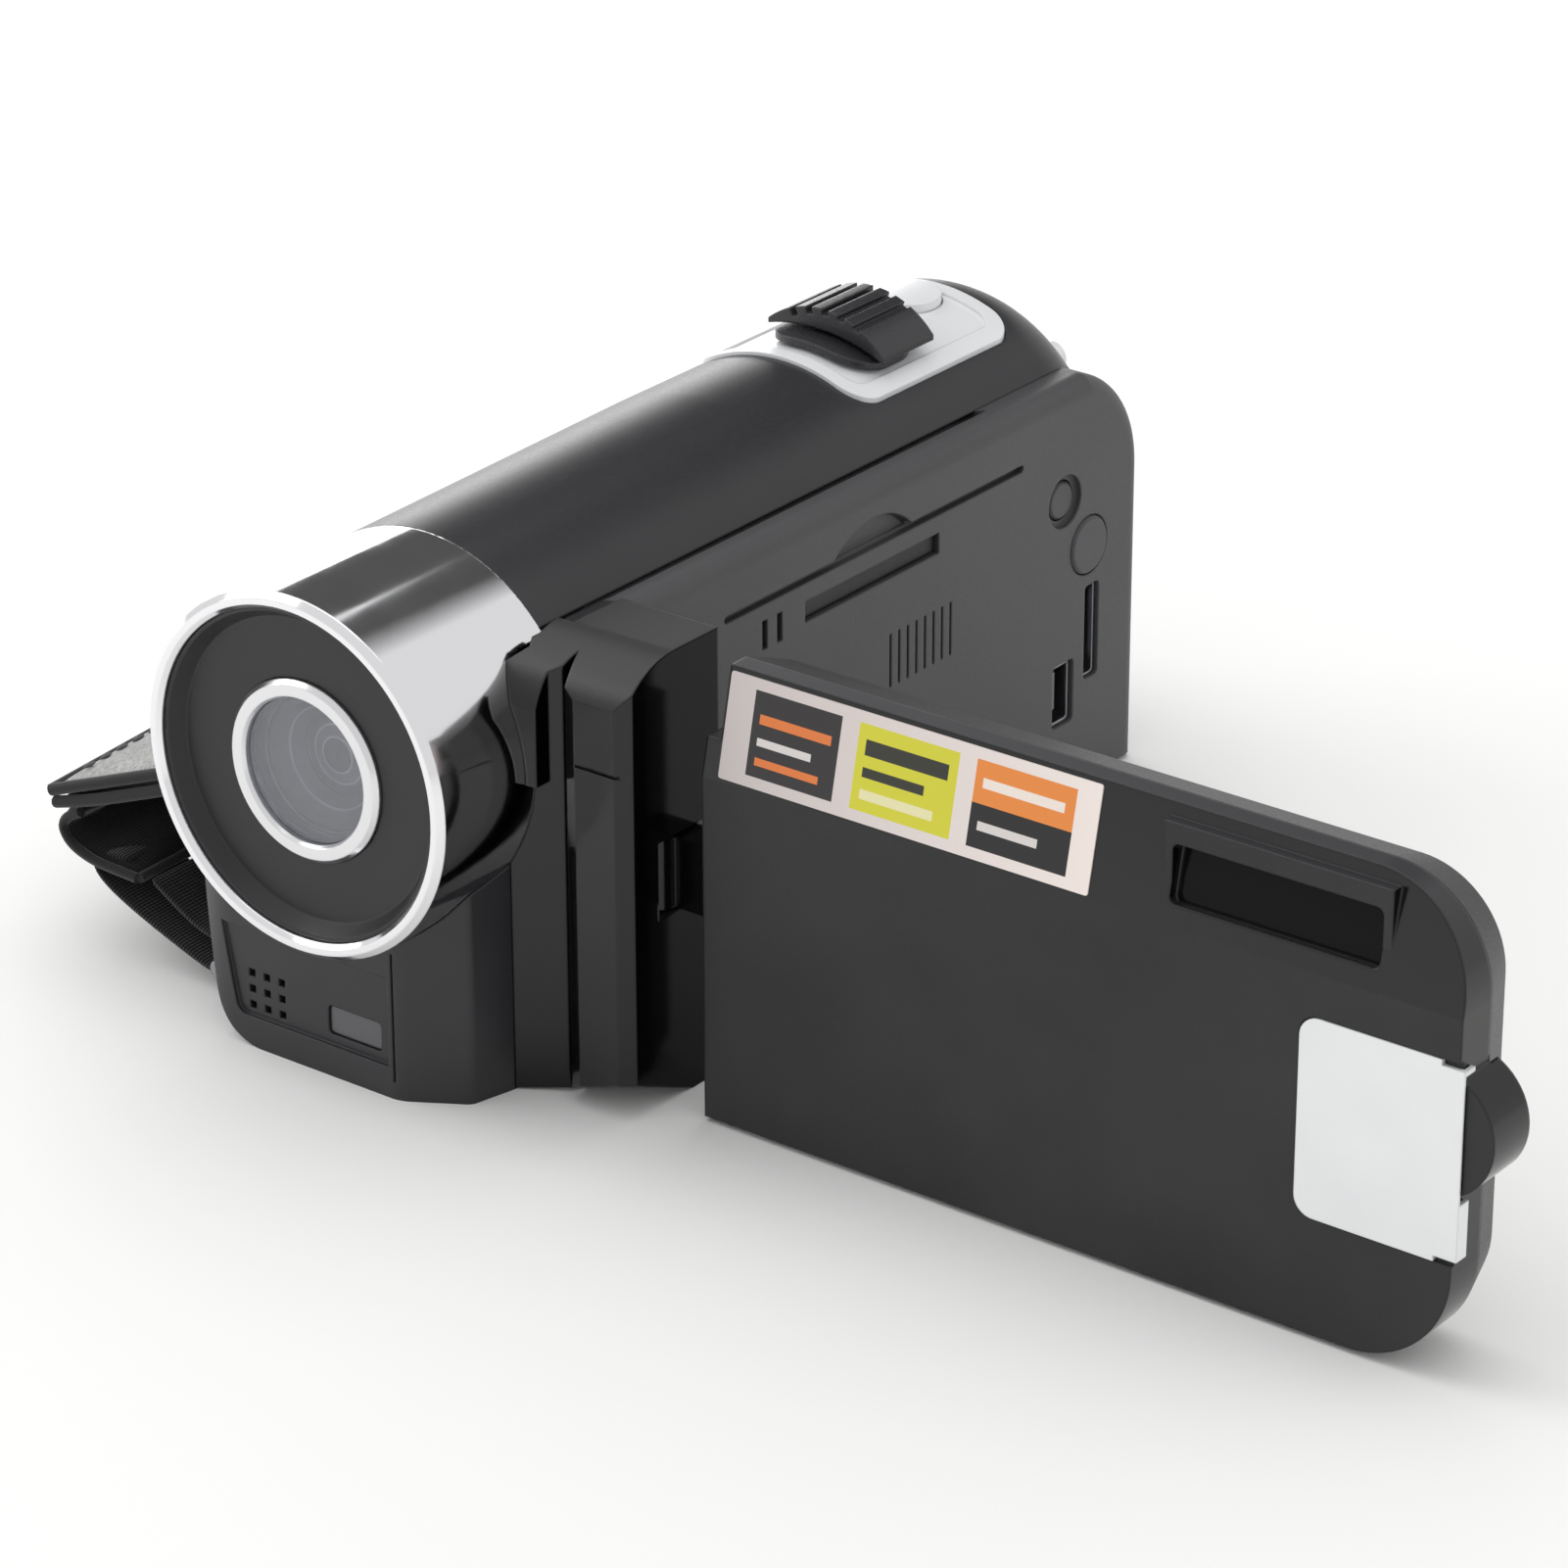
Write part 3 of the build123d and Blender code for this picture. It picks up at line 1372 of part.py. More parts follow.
with BuildPart() as badge_plate:
    round_block(across(panel_outer + thin_plate - 0.1), badge_centre, badge_size, badge_corner, thin_plate)
    slab(
        (panel_end - 2, panel_outer - 1, badge_centre[1] - badge_size[1]),
        (panel_end + 2, panel_outer + 3, badge_centre[1] + badge_size[1]),
        mode=Mode.SUBTRACT,
    )
    # the plate's turned-over edge, above and below the finger tab
    slab(
        (panel_end - 2.2, panel_outer - 0.1, badge_centre[1] - badge_size[1] / 2 + 0.6),
        (panel_end + 0.6, panel_outer + 0.5, badge_centre[1] + badge_size[1] / 2 - 0.6),
    )
    slab(
        (panel_end + 0.1, panel_outer - 0.1, badge_centre[1] - badge_size[1] / 2 + 0.6),
        (panel_end + 0.6, panel_outer + 1.7, badge_centre[1] + badge_size[1] / 2 - 0.6),
    )
    slab(
        (panel_end - 0.1, panel_outer + 0.1, tab_z - tab_radius),
        (panel_end + 1, panel_outer + 2, tab_z + tab_radius),
        mode=Mode.SUBTRACT,
    )
finish(badge_plate, "badge_plate")

with BuildPart() as label_sticker:
    round_block(
        bevel_plane,
        (label_start + label_length / 2, bevel_height / 2 + 0.1),
        (label_length, bevel_height - 0.7),
        0.3,
        0.15,
    )
finish(label_sticker, "label_sticker")

# ---- hand strap: two lugs, two webbing tails and the padded band ----
def strap_lug(name, start, end):
    """A wire loop standing off the grip side for a webbing tail."""
    with BuildPart() as lug:
        bar("Y", start, end, (lug_x, lug_z), lug_wire)
        for leg_y in (start + leg_inset, end - leg_inset):
            bar("X", lug_x, lug_x + 5.0, (leg_y, lug_z), lug_wire)
    finish(lug, name)


def webbing(name, start, end, pad_x):
    """A webbing tail from the pad's lower leaf down to its lug."""
    with BuildPart() as tail:
        with BuildSketch(across(end)) as band:
            with BuildLine():
                Polyline(
                    (pad_x - 1.0, pad_low_z + 0.7),
                    (pad_x - 1.0, pad_low_z - 0.5),
                    (lug_x - 0.3, lug_z - 3.0),
                    (lug_x + 1.0, lug_z - 2.4),
                    (lug_x + 0.9, lug_z - lug_wire - 0.1),
                    (lug_x - 0.9, lug_z - lug_wire - 0.1),
                    (lug_x - 1.6, lug_z - 0.5),
                    (pad_x + 1.4, pad_low_z - 0.3),
                    close=True,
                )
            make_face()
        extrude(band.sketch, amount=end - start)
    finish(tail, name)


for name, start, end in (
    ("strap_lug_front", *front_lug),
    ("strap_lug_rear", *rear_lug),
):
    strap_lug(name, start, end)

strap_profile = [
    (-44.0, 18.2),
    (-23.0, 27.4),
    (-22.6, 24.8),
    (-38.5, 16.6),
    (-31.5, 12.2),
    (-33.0, 8.8),
    (-41.2, 11.6),
    (-44.6, 14.6),
]
strap_root = -21.0


def strap_section(y, reach):
    """The folded pad cut across at y; reach is how far it stands off the body there."""
    with BuildSketch(across(y)) as cut:
        with BuildLine():
            Polyline(*[(strap_root + (x - strap_root) * reach, z) for x, z in strap_profile], close=True)
        make_face()
    return cut.sketch


with BuildPart() as strap_pad:
    loft([strap_section(y, reach) for y, reach in strap_stations], ruled=True)
finish(strap_pad, "strap_pad")

webbing("strap_webbing_front", front_lug[0] + 2 * lug_wire + 0.2, front_lug[1] - 2 * lug_wire - 0.2, -37.0)
webbing("strap_webbing_rear", rear_lug[0] + 2 * lug_wire + 0.2, rear_lug[1] - 2 * lug_wire - 0.2, -33.0)
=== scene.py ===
import math

import bmesh
import bpy
from mathutils import Matrix, Vector, noise


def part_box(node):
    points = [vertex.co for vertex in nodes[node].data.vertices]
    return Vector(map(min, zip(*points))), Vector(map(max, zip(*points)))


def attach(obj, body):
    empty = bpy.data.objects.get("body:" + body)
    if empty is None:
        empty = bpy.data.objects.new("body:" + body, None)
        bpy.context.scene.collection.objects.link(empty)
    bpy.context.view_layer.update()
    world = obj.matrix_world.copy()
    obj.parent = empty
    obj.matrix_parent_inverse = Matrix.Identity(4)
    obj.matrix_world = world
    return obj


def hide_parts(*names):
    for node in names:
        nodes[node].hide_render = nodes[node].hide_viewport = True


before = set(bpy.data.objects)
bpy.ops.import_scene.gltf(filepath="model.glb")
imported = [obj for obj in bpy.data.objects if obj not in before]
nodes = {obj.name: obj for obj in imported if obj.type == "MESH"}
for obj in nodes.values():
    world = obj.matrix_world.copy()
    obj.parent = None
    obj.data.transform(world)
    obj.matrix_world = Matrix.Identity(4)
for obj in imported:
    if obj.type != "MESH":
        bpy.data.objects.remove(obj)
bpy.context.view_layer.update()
MM = 0.001
# Where the finger tab starts along the screen, and the height of the lens axis, in mm.
tab_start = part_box("lcd_inner_bezel")[1].x / MM + 0.1
optical_axis = (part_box("inner_lens")[0].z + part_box("inner_lens")[1].z) / 2 / MM
# Nearly all of a noise texture lies between these two values.
faint, full = 0.3, 0.7


# ---- small tools ----
def colour(code):
    """Linear colour from a hex sRGB code."""
    parts = [int(code[i : i + 2], 16) / 255 for i in (0, 2, 4)]
    return (*[c / 12.92 if c <= 0.04045 else ((c + 0.055) / 1.055) ** 2.4 for c in parts], 1.0)


def scale_for(size_mm):
    """The texture scale whose lumps are about size_mm across."""
    return 1 / (size_mm * MM)


def fill(socket, value):
    """Sets a socket to a number or colour, or links another node's output to it."""
    if isinstance(value, bpy.types.NodeSocket):
        socket.id_data.links.new(value, socket)
    else:
        socket.default_value = value


def add_node(tree, kind, inputs=(), out=0, **settings):
    """Adds one node, sets its properties, fills its inputs (in order, or by name) and gives back one output.
    A colour Mix has its share, first and second colour at inputs 0, 6 and 7, and its result at output 2."""
    node = tree.nodes.new("ShaderNode" + kind)
    for key, value in settings.items():
        setattr(node, key, value)
    for key, value in inputs.items() if isinstance(inputs, dict) else enumerate(inputs):
        fill(node.inputs[key], value)
    return node.outputs[out]


class Finish:
    """A material under construction: its shader, places on the camcorder, and what its patterns are made from."""

    def __init__(self, name):
        self.material = bpy.data.materials.new(name)
        self.material.use_nodes = True
        self.tree = self.material.node_tree
        self.shader = self.tree.nodes["Principled BSDF"]
        self.place = self.add("TexCoord", out="Object")
        self.facing = self.add("TexCoord", out="Normal")

    def add(self, kind, inputs=(), out=0, **settings):
        """One node in this material."""
        return add_node(self.tree, kind, inputs, out, **settings)

    def set(self, **values):
        """Values or sockets for the main shader, with underscores for spaces."""
        for key, value in values.items():
            fill(self.shader.inputs[key.replace("_", " ")], value)

    def at(self, axis):
        """Distance along one axis of the camcorder, in mm."""
        along = self.add("SeparateXYZ", [self.place], out=axis)
        return self.add("Math", [along, 1 / MM], operation="MULTIPLY")

    def within(self, value, low, high):
        """1 where a value lies between two limits, else 0."""
        over = self.add("Math", [value, low], operation="GREATER_THAN")
        under = self.add("Math", [value, high], operation="LESS_THAN")
        return self.add("Math", [over, under], operation="MULTIPLY")


# ---- finishes ----
def satin_plastic(name, dark, light, rough, edge_mm=0.35):
    """Moulded ABS: cloudy tone from moulding, and the spark-eroded grain that breaks up highlights. Real grain is
    about 0.06 mm, too fine to show, so it is drawn at 0.28 mm."""
    made = Finish(name)
    cloud = made.add("TexNoise", {"Vector": made.place, "Scale": scale_for(14), "Detail": 3.0})
    grain = made.add("TexNoise", {"Vector": made.place, "Scale": scale_for(0.28), "Detail": 1.0})
    share = made.add("MapRange", [cloud, faint, full, 0.0, 1.0])
    edges = made.add("Bevel", {"Radius": edge_mm * MM}, samples=6)
    made.set(
        Base_Color=made.add("Mix", {0: share, 6: colour(dark), 7: colour(light)}, out=2, data_type="RGBA"),
        Roughness=made.add("MapRange", [grain, faint, full, rough - 0.04, rough + 0.04]),
        Normal=made.add("Bump", {"Height": grain, "Distance": 0.005 * MM, "Strength": 0.5, "Normal": edges}),
    )
    return made


def gloss_plastic(name, code, rough):
    """Polished ABS: clear reflections with the faint waviness of a moulded gloss face. The specks of dust are drawn
    at 0.5 mm, far larger than real ones, so that they show."""
    made = Finish(name)
    wave = made.add("TexNoise", {"Vector": made.place, "Scale": scale_for(9), "Detail": 2.0})
    dust = made.add("TexNoise", {"Vector": made.place, "Scale": scale_for(0.5), "Detail": 1.0})
    edges = made.add("Bevel", {"Radius": 0.35 * MM}, samples=6)
    made.set(
        Base_Color=colour(code),
        Roughness=made.add("MapRange", [dust, faint, full, rough, rough + 0.04]),
        Normal=made.add("Bump", {"Height": wave, "Distance": 0.02 * MM, "Strength": 0.2, "Normal": edges}),
    )
    return made


def two_finish_plastic(name, gloss_where, satin_code, satin_rough, gloss_code, gloss_lit_top, painted_shade_where):
    """One ABS moulding polished in some places and satin in others: gloss_where gives 1 where it is polished. On
    surfaces that face up, but not on the finger tab, the polish is rougher and painted paler, towards the colour given
    for the top, as a painted highlight of the light from above. The last argument gives 1 where a deep recess, or the
    open screen, keeps the light out; there the reflections are turned down as painted shade. Its grain is drawn at
    0.28 mm, as on the other satin mouldings."""
    made = Finish(name)
    gloss = gloss_where(made)
    grain = made.add("TexNoise", {"Vector": made.place, "Scale": scale_for(0.28), "Detail": 1.0})
    cloud = made.add("TexNoise", {"Vector": made.place, "Scale": scale_for(16), "Detail": 3.0})
    # Faces that look up, except on the finger tab, get a painted highlight towards the colour for the top, and a
    # rougher polish.
    rise = made.add("SeparateXYZ", [made.facing], out=2)
    rising = made.add("MapRange", [rise, 0.15, 0.95, 0.0, 1.0])
    off_tab = made.add("Math", [made.at(0), tab_start], operation="LESS_THAN")
    rougher_lit_top = made.add("Math", [rising, off_tab], operation="MULTIPLY")
    paler = made.add("MapRange", [cloud, faint, full, 0.0, 0.04])
    satin = made.add("Mix", {0: paler, 6: colour(satin_code), 7: colour("808082")}, out=2, data_type="RGBA")
    polish = made.add("Mix", {0: rougher_lit_top, 6: colour(gloss_code), 7: colour(gloss_lit_top)}, out=2, data_type="RGBA")
    satin_level = made.add("MapRange", [grain, faint, full, satin_rough - 0.05, satin_rough + 0.05])
    polish_level = made.add("MapRange", [rougher_lit_top, 0.0, 1.0, 0.12, 0.36])
    edges = made.add("Bevel", {"Radius": 0.4 * MM}, samples=6)
    made.set(
        Base_Color=made.add("Mix", {0: gloss, 6: satin, 7: polish}, out=2, data_type="RGBA"),
        Roughness=made.add("MapRange", [gloss, 0.0, 1.0, satin_level, polish_level]),
        Normal=made.add("Bump", {"Height": grain, "Distance": 0.004 * MM, "Strength": 0.4, "Normal": edges}),
        # Reflections are turned down as painted shade in the deep recess and under the open screen.
        Specular_IOR_Level=made.add("MapRange", [painted_shade_where(made), 0.0, 1.0, 0.5, 0.12]),
    )
    return made


def chrome(name, code, rough):
    """Electroplating on plastic: tiny changes of polish, and faint turning lines round the wall. The lines are drawn
    0.1 mm apart; real ones are finer and would not show."""
    made = Finish(name)
    haze = made.add("TexNoise", {"Vector": made.place, "Scale": scale_for(6), "Detail": 3.0})
    round_wall = made.add("Mapping", {"Vector": made.place, "Scale": (0.05, 3, 0.05)})
    lines = made.add("TexNoise", {"Vector": round_wall, "Scale": scale_for(0.3), "Detail": 2.0})
    edges = made.add("Bevel", {"Radius": 0.25 * MM}, samples=6)
    made.set(
        Base_Color=colour(code),
        Metallic=1.0,
        Roughness=made.add("MapRange", [haze, faint, full, rough, rough + 0.04]),
        Normal=made.add("Bump", {"Height": lines, "Distance": 0.001 * MM, "Strength": 0.2, "Normal": edges}),
    )
    return made


def silver_paint(name, code, rough):
    """Metallic silver lacquer on plastic: flake sparkle under a thin clear coat. Real flakes are about 0.03 mm; they
    are drawn at 0.12 mm, as coarse as they need to be to show."""
    made = Finish(name)
    flake = made.add("TexVoronoi", {"Vector": made.place, "Scale": scale_for(0.12)}, out="Distance")
    shade = made.add("TexNoise", {"Vector": made.place, "Scale": scale_for(10), "Detail": 2.0})
    whiter = made.add("MapRange", [shade, faint, full, 0.0, 0.25])
    base = made.add("Mix", {0: whiter, 6: colour(code), 7: colour("ffffff")}, out=2, data_type="RGBA")
    sparkle = made.add("MapRange", [flake, 0.0, 0.8, 0.0, 0.2])
    edges = made.add("Bevel", {"Radius": 0.25 * MM}, samples=6)
    made.set(
        Base_Color=made.add("Mix", {0: sparkle, 6: base, 7: colour("f4f5f7")}, out=2, data_type="RGBA"),
        Metallic=0.15,
        Roughness=made.add("MapRange", [flake, 0.0, 0.8, rough, rough + 0.12]),
        Normal=made.add("Bump", {"Height": flake, "Distance": 0.002 * MM, "Strength": 0.25, "Normal": edges}),
        Coat_Weight=0.3,
        Coat_Roughness=0.08,
    )
    return made


def glass(name, code):
    """Coated glass: clear, with the faint cool bloom of its coating at grazing angles."""
    made = Finish(name)
    grazing = made.add("LayerWeight", {"Blend": 0.35}, out="Facing")
    made.set(
        Base_Color=made.add("Mix", {0: grazing, 6: colour(code), 7: colour("c9d0de")}, out=2, data_type="RGBA"),
        Transmission_Weight=0.9,
        Roughness=0.02,
        IOR=1.5,
    )
    return made


def fabric(name, dark, light, pitch_mm, depth_mm, ribs=False):
    """Woven nylon: over-and-under threads, with fuzz and a soft sheen; ribs run across webbing. Real threads are
    0.3 to 0.5 mm apart; pitch_mm is about twice that, because closer ones merge into one tone."""
    made = Finish(name)
    warp_turn = made.add("Math", [made.at(1), 2 * math.pi / pitch_mm], operation="MULTIPLY")
    outward = made.add("Math", [made.at(0), 0.92], operation="MULTIPLY")
    downward = made.add("Math", [made.at(2), 0.39], operation="MULTIPLY")
    across = made.add("Math", [outward, downward], operation="SUBTRACT")
    weft_pitch = pitch_mm * (0.7 if ribs else 1.0)
    weft_turn = made.add("Math", [across, 2 * math.pi / weft_pitch], operation="MULTIPLY")
    warp_wave = made.add("Math", [warp_turn], operation="SINE")
    weft_wave = made.add("Math", [weft_turn], operation="SINE")
    warp = made.add("Math", [warp_wave], operation="ABSOLUTE")
    weft = made.add("Math", [weft_wave], operation="ABSOLUTE")
    if ribs:
        low_warp = made.add("Math", [warp, 0.35], operation="MULTIPLY")
        weave = made.add("Math", [low_warp, weft], operation="ADD")
    else:
        weave = made.add("Math", [warp, weft], operation="MAXIMUM")
    fuzz = made.add("TexNoise", {"Vector": made.place, "Scale": scale_for(0.25), "Detail": 2.0})
    loose = made.add("Math", [fuzz, 0.5], operation="MULTIPLY")
    height = made.add("Math", [weave, loose], operation="ADD")
    share = made.add("MapRange", [height, 0.4, 1.4, 0.0, 1.0])
    made.set(
        Base_Color=made.add("Mix", {0: share, 6: colour(dark), 7: colour(light)}, out=2, data_type="RGBA"),
        Roughness=0.85,
        Normal=made.add("Bump", {"Height": height, "Distance": depth_mm * MM, "Strength": 0.8}),
        Specular_IOR_Level=0.2,
        Sheen_Weight=0.25,
        Sheen_Roughness=0.5,
    )
    return made


def felt(name, dark, light):
    """Brushed felt lining: matted fibres in short strokes, uneven in tone. Real fibres are about 0.02 mm thick; they
    are drawn as strokes 0.22 mm wide, as coarse as they need to be to show."""
    made = Finish(name)
    brushed = made.add("Mapping", {"Vector": made.place, "Scale": (1, 0.35, 1)})
    fibres = made.add("TexNoise", {"Vector": brushed, "Scale": scale_for(0.22), "Detail": 4.0})
    patches = made.add("TexNoise", {"Vector": made.place, "Scale": scale_for(5), "Detail": 3.0})
    fibre_tone = made.add("Math", [fibres, 0.85], operation="MULTIPLY")
    patch_tone = made.add("Math", [patches, 0.15], operation="MULTIPLY")
    tone = made.add("Math", [fibre_tone, patch_tone], operation="ADD")
    share = made.add("MapRange", [tone, 0.38, 0.62, 0.0, 1.0])
    made.set(
        Base_Color=made.add("Mix", {0: share, 6: colour(dark), 7: colour(light)}, out=2, data_type="RGBA"),
        Roughness=0.95,
        Normal=made.add("Bump", {"Height": fibres, "Distance": 0.12 * MM, "Strength": 0.7}),
        Specular_IOR_Level=0.1,
        Sheen_Weight=0.3,
    )
    return made


# Flat ink on the label: start, end, bottom and top in mm from its lower front corner, then the ink.
ink_blocks = (
    (3.3, 14.2, 1.2, 9.9, "2b2829"),
    (4.2, 13.2, 6.6, 7.6, "e07a3a"),
    (4.2, 11.0, 4.4, 5.2, "d9d3cf"),
    (4.2, 12.2, 2.4, 3.2, "e07a3a"),
    (16.4, 28.7, 1.2, 9.9, "d3cf35"),
    (17.4, 27.6, 6.8, 8.4, "2f2f26"),
    (17.4, 25.0, 4.6, 5.6, "2f2f26"),
    (17.4, 26.4, 2.4, 3.4, "e8e2b0"),
    (30.8, 42.8, 1.2, 5.6, "1c1a1b"),
    (30.8, 42.8, 5.6, 9.9, "e88a3c"),
    (31.8, 41.6, 7.2, 8.2, "f0e4da"),
    (31.8, 39.0, 3.0, 3.9, "d9d3cf"),
)


def label_print(name):
    """Coated paper label: pinkish white stock, painted darker at its end nearer the hinge and paler at its far end as
    painted shade, with blocks of flat ink, each crossed by plain bars.
    """
    made = Finish(name)
    low, high = (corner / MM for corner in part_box("label_sticker"))
    along = made.add("Math", [made.at(0), low.x], operation="SUBTRACT")
    height = made.add("Math", [made.at(2), low.z], operation="SUBTRACT")
    # Painted shade: the stock darkens towards its end nearer the hinge.
    share = made.add("MapRange", [along, 0.0, high.x - low.x, 0.0, 1.0])
    shade = made.add("Mix", {0: share, 6: colour("c9c0be"), 7: colour("f2e6e0")}, out=2, data_type="RGBA")
    for start, end, bottom, top, ink in ink_blocks:
        columns, rows = made.within(along, start, end), made.within(height, bottom, top)
        inside = made.add("Math", [columns, rows], operation="MULTIPLY")
        shade = made.add("Mix", {0: inside, 6: shade, 7: colour(ink)}, out=2, data_type="RGBA")
    film = made.add("TexNoise", {"Vector": made.place, "Scale": scale_for(0.4), "Detail": 1.0})
    made.set(
        Base_Color=shade,
        Roughness=made.add("MapRange", [film, faint, full, 0.28, 0.36]),
        Normal=made.add("Bump", {"Height": film, "Distance": 0.003 * MM, "Strength": 0.4}),
    )
    return made


def lens_rings(name):
    """Coated inner lens: grey, with a dark disc painted in the middle as the shade seen into the lens, and a painted
    highlight line at the edge of each ground surface.
    """
    made = Finish(name)
    level = made.add("Math", [made.at(2), optical_axis], operation="SUBTRACT")
    sideways = made.add("Math", [made.at(0)], operation="ABSOLUTE")
    upright = made.add("Math", [level], operation="ABSOLUTE")
    side_square = made.add("Math", [sideways, 2.0], operation="POWER")
    up_square = made.add("Math", [upright, 2.0], operation="POWER")
    together = made.add("Math", [side_square, up_square], operation="ADD")
    radius = made.add("Math", [together], operation="SQRT")
    # Painted shade: dark within 1.9 mm of the axis.
    outside_dark_disc = made.add("Math", [radius, 1.9], operation="GREATER_THAN")
    shade = made.add("Mix", {0: outside_dark_disc, 6: colour("1c1c1f"), 7: colour("67676b")}, out=2, data_type="RGBA")
    # Painted highlights: a pale line at the edge of each ground surface.
    for low, high in ((1.9, 2.1), (3.2, 3.45)):
        ring = made.within(radius, low, high)
        shade = made.add("Mix", {0: ring, 6: shade, 7: colour("b8b8bc")}, out=2, data_type="RGBA")
    bloom = made.add("TexNoise", {"Vector": made.place, "Scale": scale_for(3), "Detail": 2.0})
    made.set(Base_Color=shade, Roughness=made.add("MapRange", [bloom, faint, full, 0.3, 0.36]))
    return made


def baffle(name):
    """Moulded polycarbonate barrel: its inside is cut into shallow steps 1.6 mm apart, each with a thin painted
    highlight line where it would catch the light."""
    made = Finish(name)
    steps = made.add("Math", [made.at(1), 0.62], operation="MULTIPLY")
    depth = made.add("Math", [steps], operation="FRACT")
    # Painted highlight: a paler line along each step.
    line = made.add("Math", [depth, 0.14], operation="LESS_THAN")
    haze = made.add("TexNoise", {"Vector": made.place, "Scale": scale_for(2), "Detail": 2.0})
    made.set(
        Base_Color=made.add("Mix", {0: line, 6: colour("68686c"), 7: colour("b2b2b6")}, out=2, data_type="RGBA"),
        Roughness=made.add("MapRange", [haze, faint, full, 0.42, 0.52]),
        Normal=made.add("Bump", {"Height": depth, "Distance": 0.15 * MM, "Strength": 0.4}),
    )
    return made


def polished_cover(made):
    """Polished on the hinge block at the front of the side shell."""
    return made.add("Math", [made.at(1), -30.0], operation="LESS_THAN")


def polished_panel(made):
    """Polished everywhere but the flat outer face."""
    outward = made.add("SeparateXYZ", [made.facing], out=1)
    flat_face = made.add("Math", [outward, -0.985], operation="LESS_THAN")
    outside = made.add("Math", [made.at(1), -39.0], operation="LESS_THAN")
    satin = made.add("Math", [flat_face, outside], operation="MULTIPLY")
    return made.add("Math", [1.0, satin], operation="SUBTRACT")


def block_outer_face(made):
    """The outer face of the hinge block, which the open screen shades: its reflections are turned down there as painted
    shade, also when the screen is closed.
    """
    sideways = made.add("SeparateXYZ", [made.facing], out=0)
    outward = made.add("Math", [sideways, 0.8], operation="GREATER_THAN")
    on_block = made.add("Math", [made.at(0), 30.0], operation="GREATER_THAN")
    return made.add("Math", [on_block, outward], operation="MULTIPLY")


def finger_recess(made):
    """The floor of the sunk finger grip at the top of the screen cover, where the reflections are turned down as
    painted shade.
    """
    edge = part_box("badge_plate")[0].x / MM
    along = made.within(made.at(0), edge - 15.4, edge + 7.8)
    level = made.within(made.at(2), 41.6, 47.6)
    inside = made.add("Math", [along, level], operation="MULTIPLY")
    deep = made.add("Math", [made.at(1), -38.4], operation="GREATER_THAN")
    return made.add("Math", [inside, deep], operation="MULTIPLY")


hood_plastic = satin_plastic("satin_charcoal_ABS", "242427", "28282b", 0.33)
# Side shell: the paler colour for the top is a painted highlight, and the hinge block's outer face gets painted shade.
side_plastic = two_finish_plastic(
    "satin_grey_and_gloss_black_ABS", polished_cover, "434345", 0.48, "050506", "1d1d20", block_outer_face
)
small_grey = satin_plastic("satin_grey_ABS", "3f3f42", "48484b", 0.45)
gloss_black = gloss_plastic("polished_black_ABS", "0a0a0c", 0.14)
chin_plastic = satin_plastic("satin_black_ABS_chin", "222225", "2a2a2d", 0.38)
# Screen cover: the paler colour for the top is a painted highlight, and the finger grip's floor gets painted shade.
panel_plastic = two_finish_plastic(
    "screen_cover_ABS", polished_panel, "131315", 0.5, "060607", "303033", finger_recess
)
bezel_plastic = satin_plastic("satin_black_ABS", "111113", "17171a", 0.4)
lever_plastic = satin_plastic("moulded_charcoal_ABS_lever", "28282b", "303033", 0.3)
sleeve_chrome = chrome("bright_chrome_plating", "eeeef0", 0.07)
trim_chrome = chrome("satin_chrome_plating", "e2e2e4", 0.16)
steel = chrome("zinc_plated_steel", "9b9ca0", 0.3)
contact_gold = chrome("gold_plated_contacts", "d8b25a", 0.25)
silver = silver_paint("silver_lacquer_on_ABS", "e6e7e9", 0.3)
badge_silver = silver_paint("pale_silver_lacquer_on_ABS", "e9eaeb", 0.34)
lens_glass = glass("coated_lens_glass", "f2f4fa")
window_glass = gloss_plastic("tinted_acrylic_screen_window", "060608", 0.05)
lamp_window = gloss_plastic("frosted_acrylic_lamp_window", "5b5b5e", 0.2)
face_black = satin_plastic("black_anodised_aluminium_ring", "17171a", "1d1d20", 0.42)
inner_grey = lens_rings("coated_inner_lens")
barrel_grey = baffle("grey_polycarbonate_barrel")
board_green = satin_plastic("green_solder_mask", "12402a", "1a5236", 0.35)
port_black = satin_plastic("matt_black_glass_filled_nylon", "0d0d0f", "141416", 0.5)
label_paper = label_print("coated_paper_label")
strap_felt = felt("brushed_grey_felt", "747474", "b4b4b2")
strap_cloth = fabric("black_nylon_pack_cloth", "050506", "141416", 0.9, 0.08)
strap_piping = fabric("black_woven_edge_binding", "0a0a0b", "242426", 0.6, 0.06)
strap_web = fabric("black_polyester_webbing", "040405", "151517", 1.1, 0.16, ribs=True)
strap_thread = satin_plastic("grey_polyester_thread", "4c4c4e", "606062", 0.7, 0.05)


def paint(node, finish):
    """Gives a carried-over CAD node its finish."""
    shown = nodes[node]
    shown.data.materials.clear()
    shown.data.materials.append(finish.material)


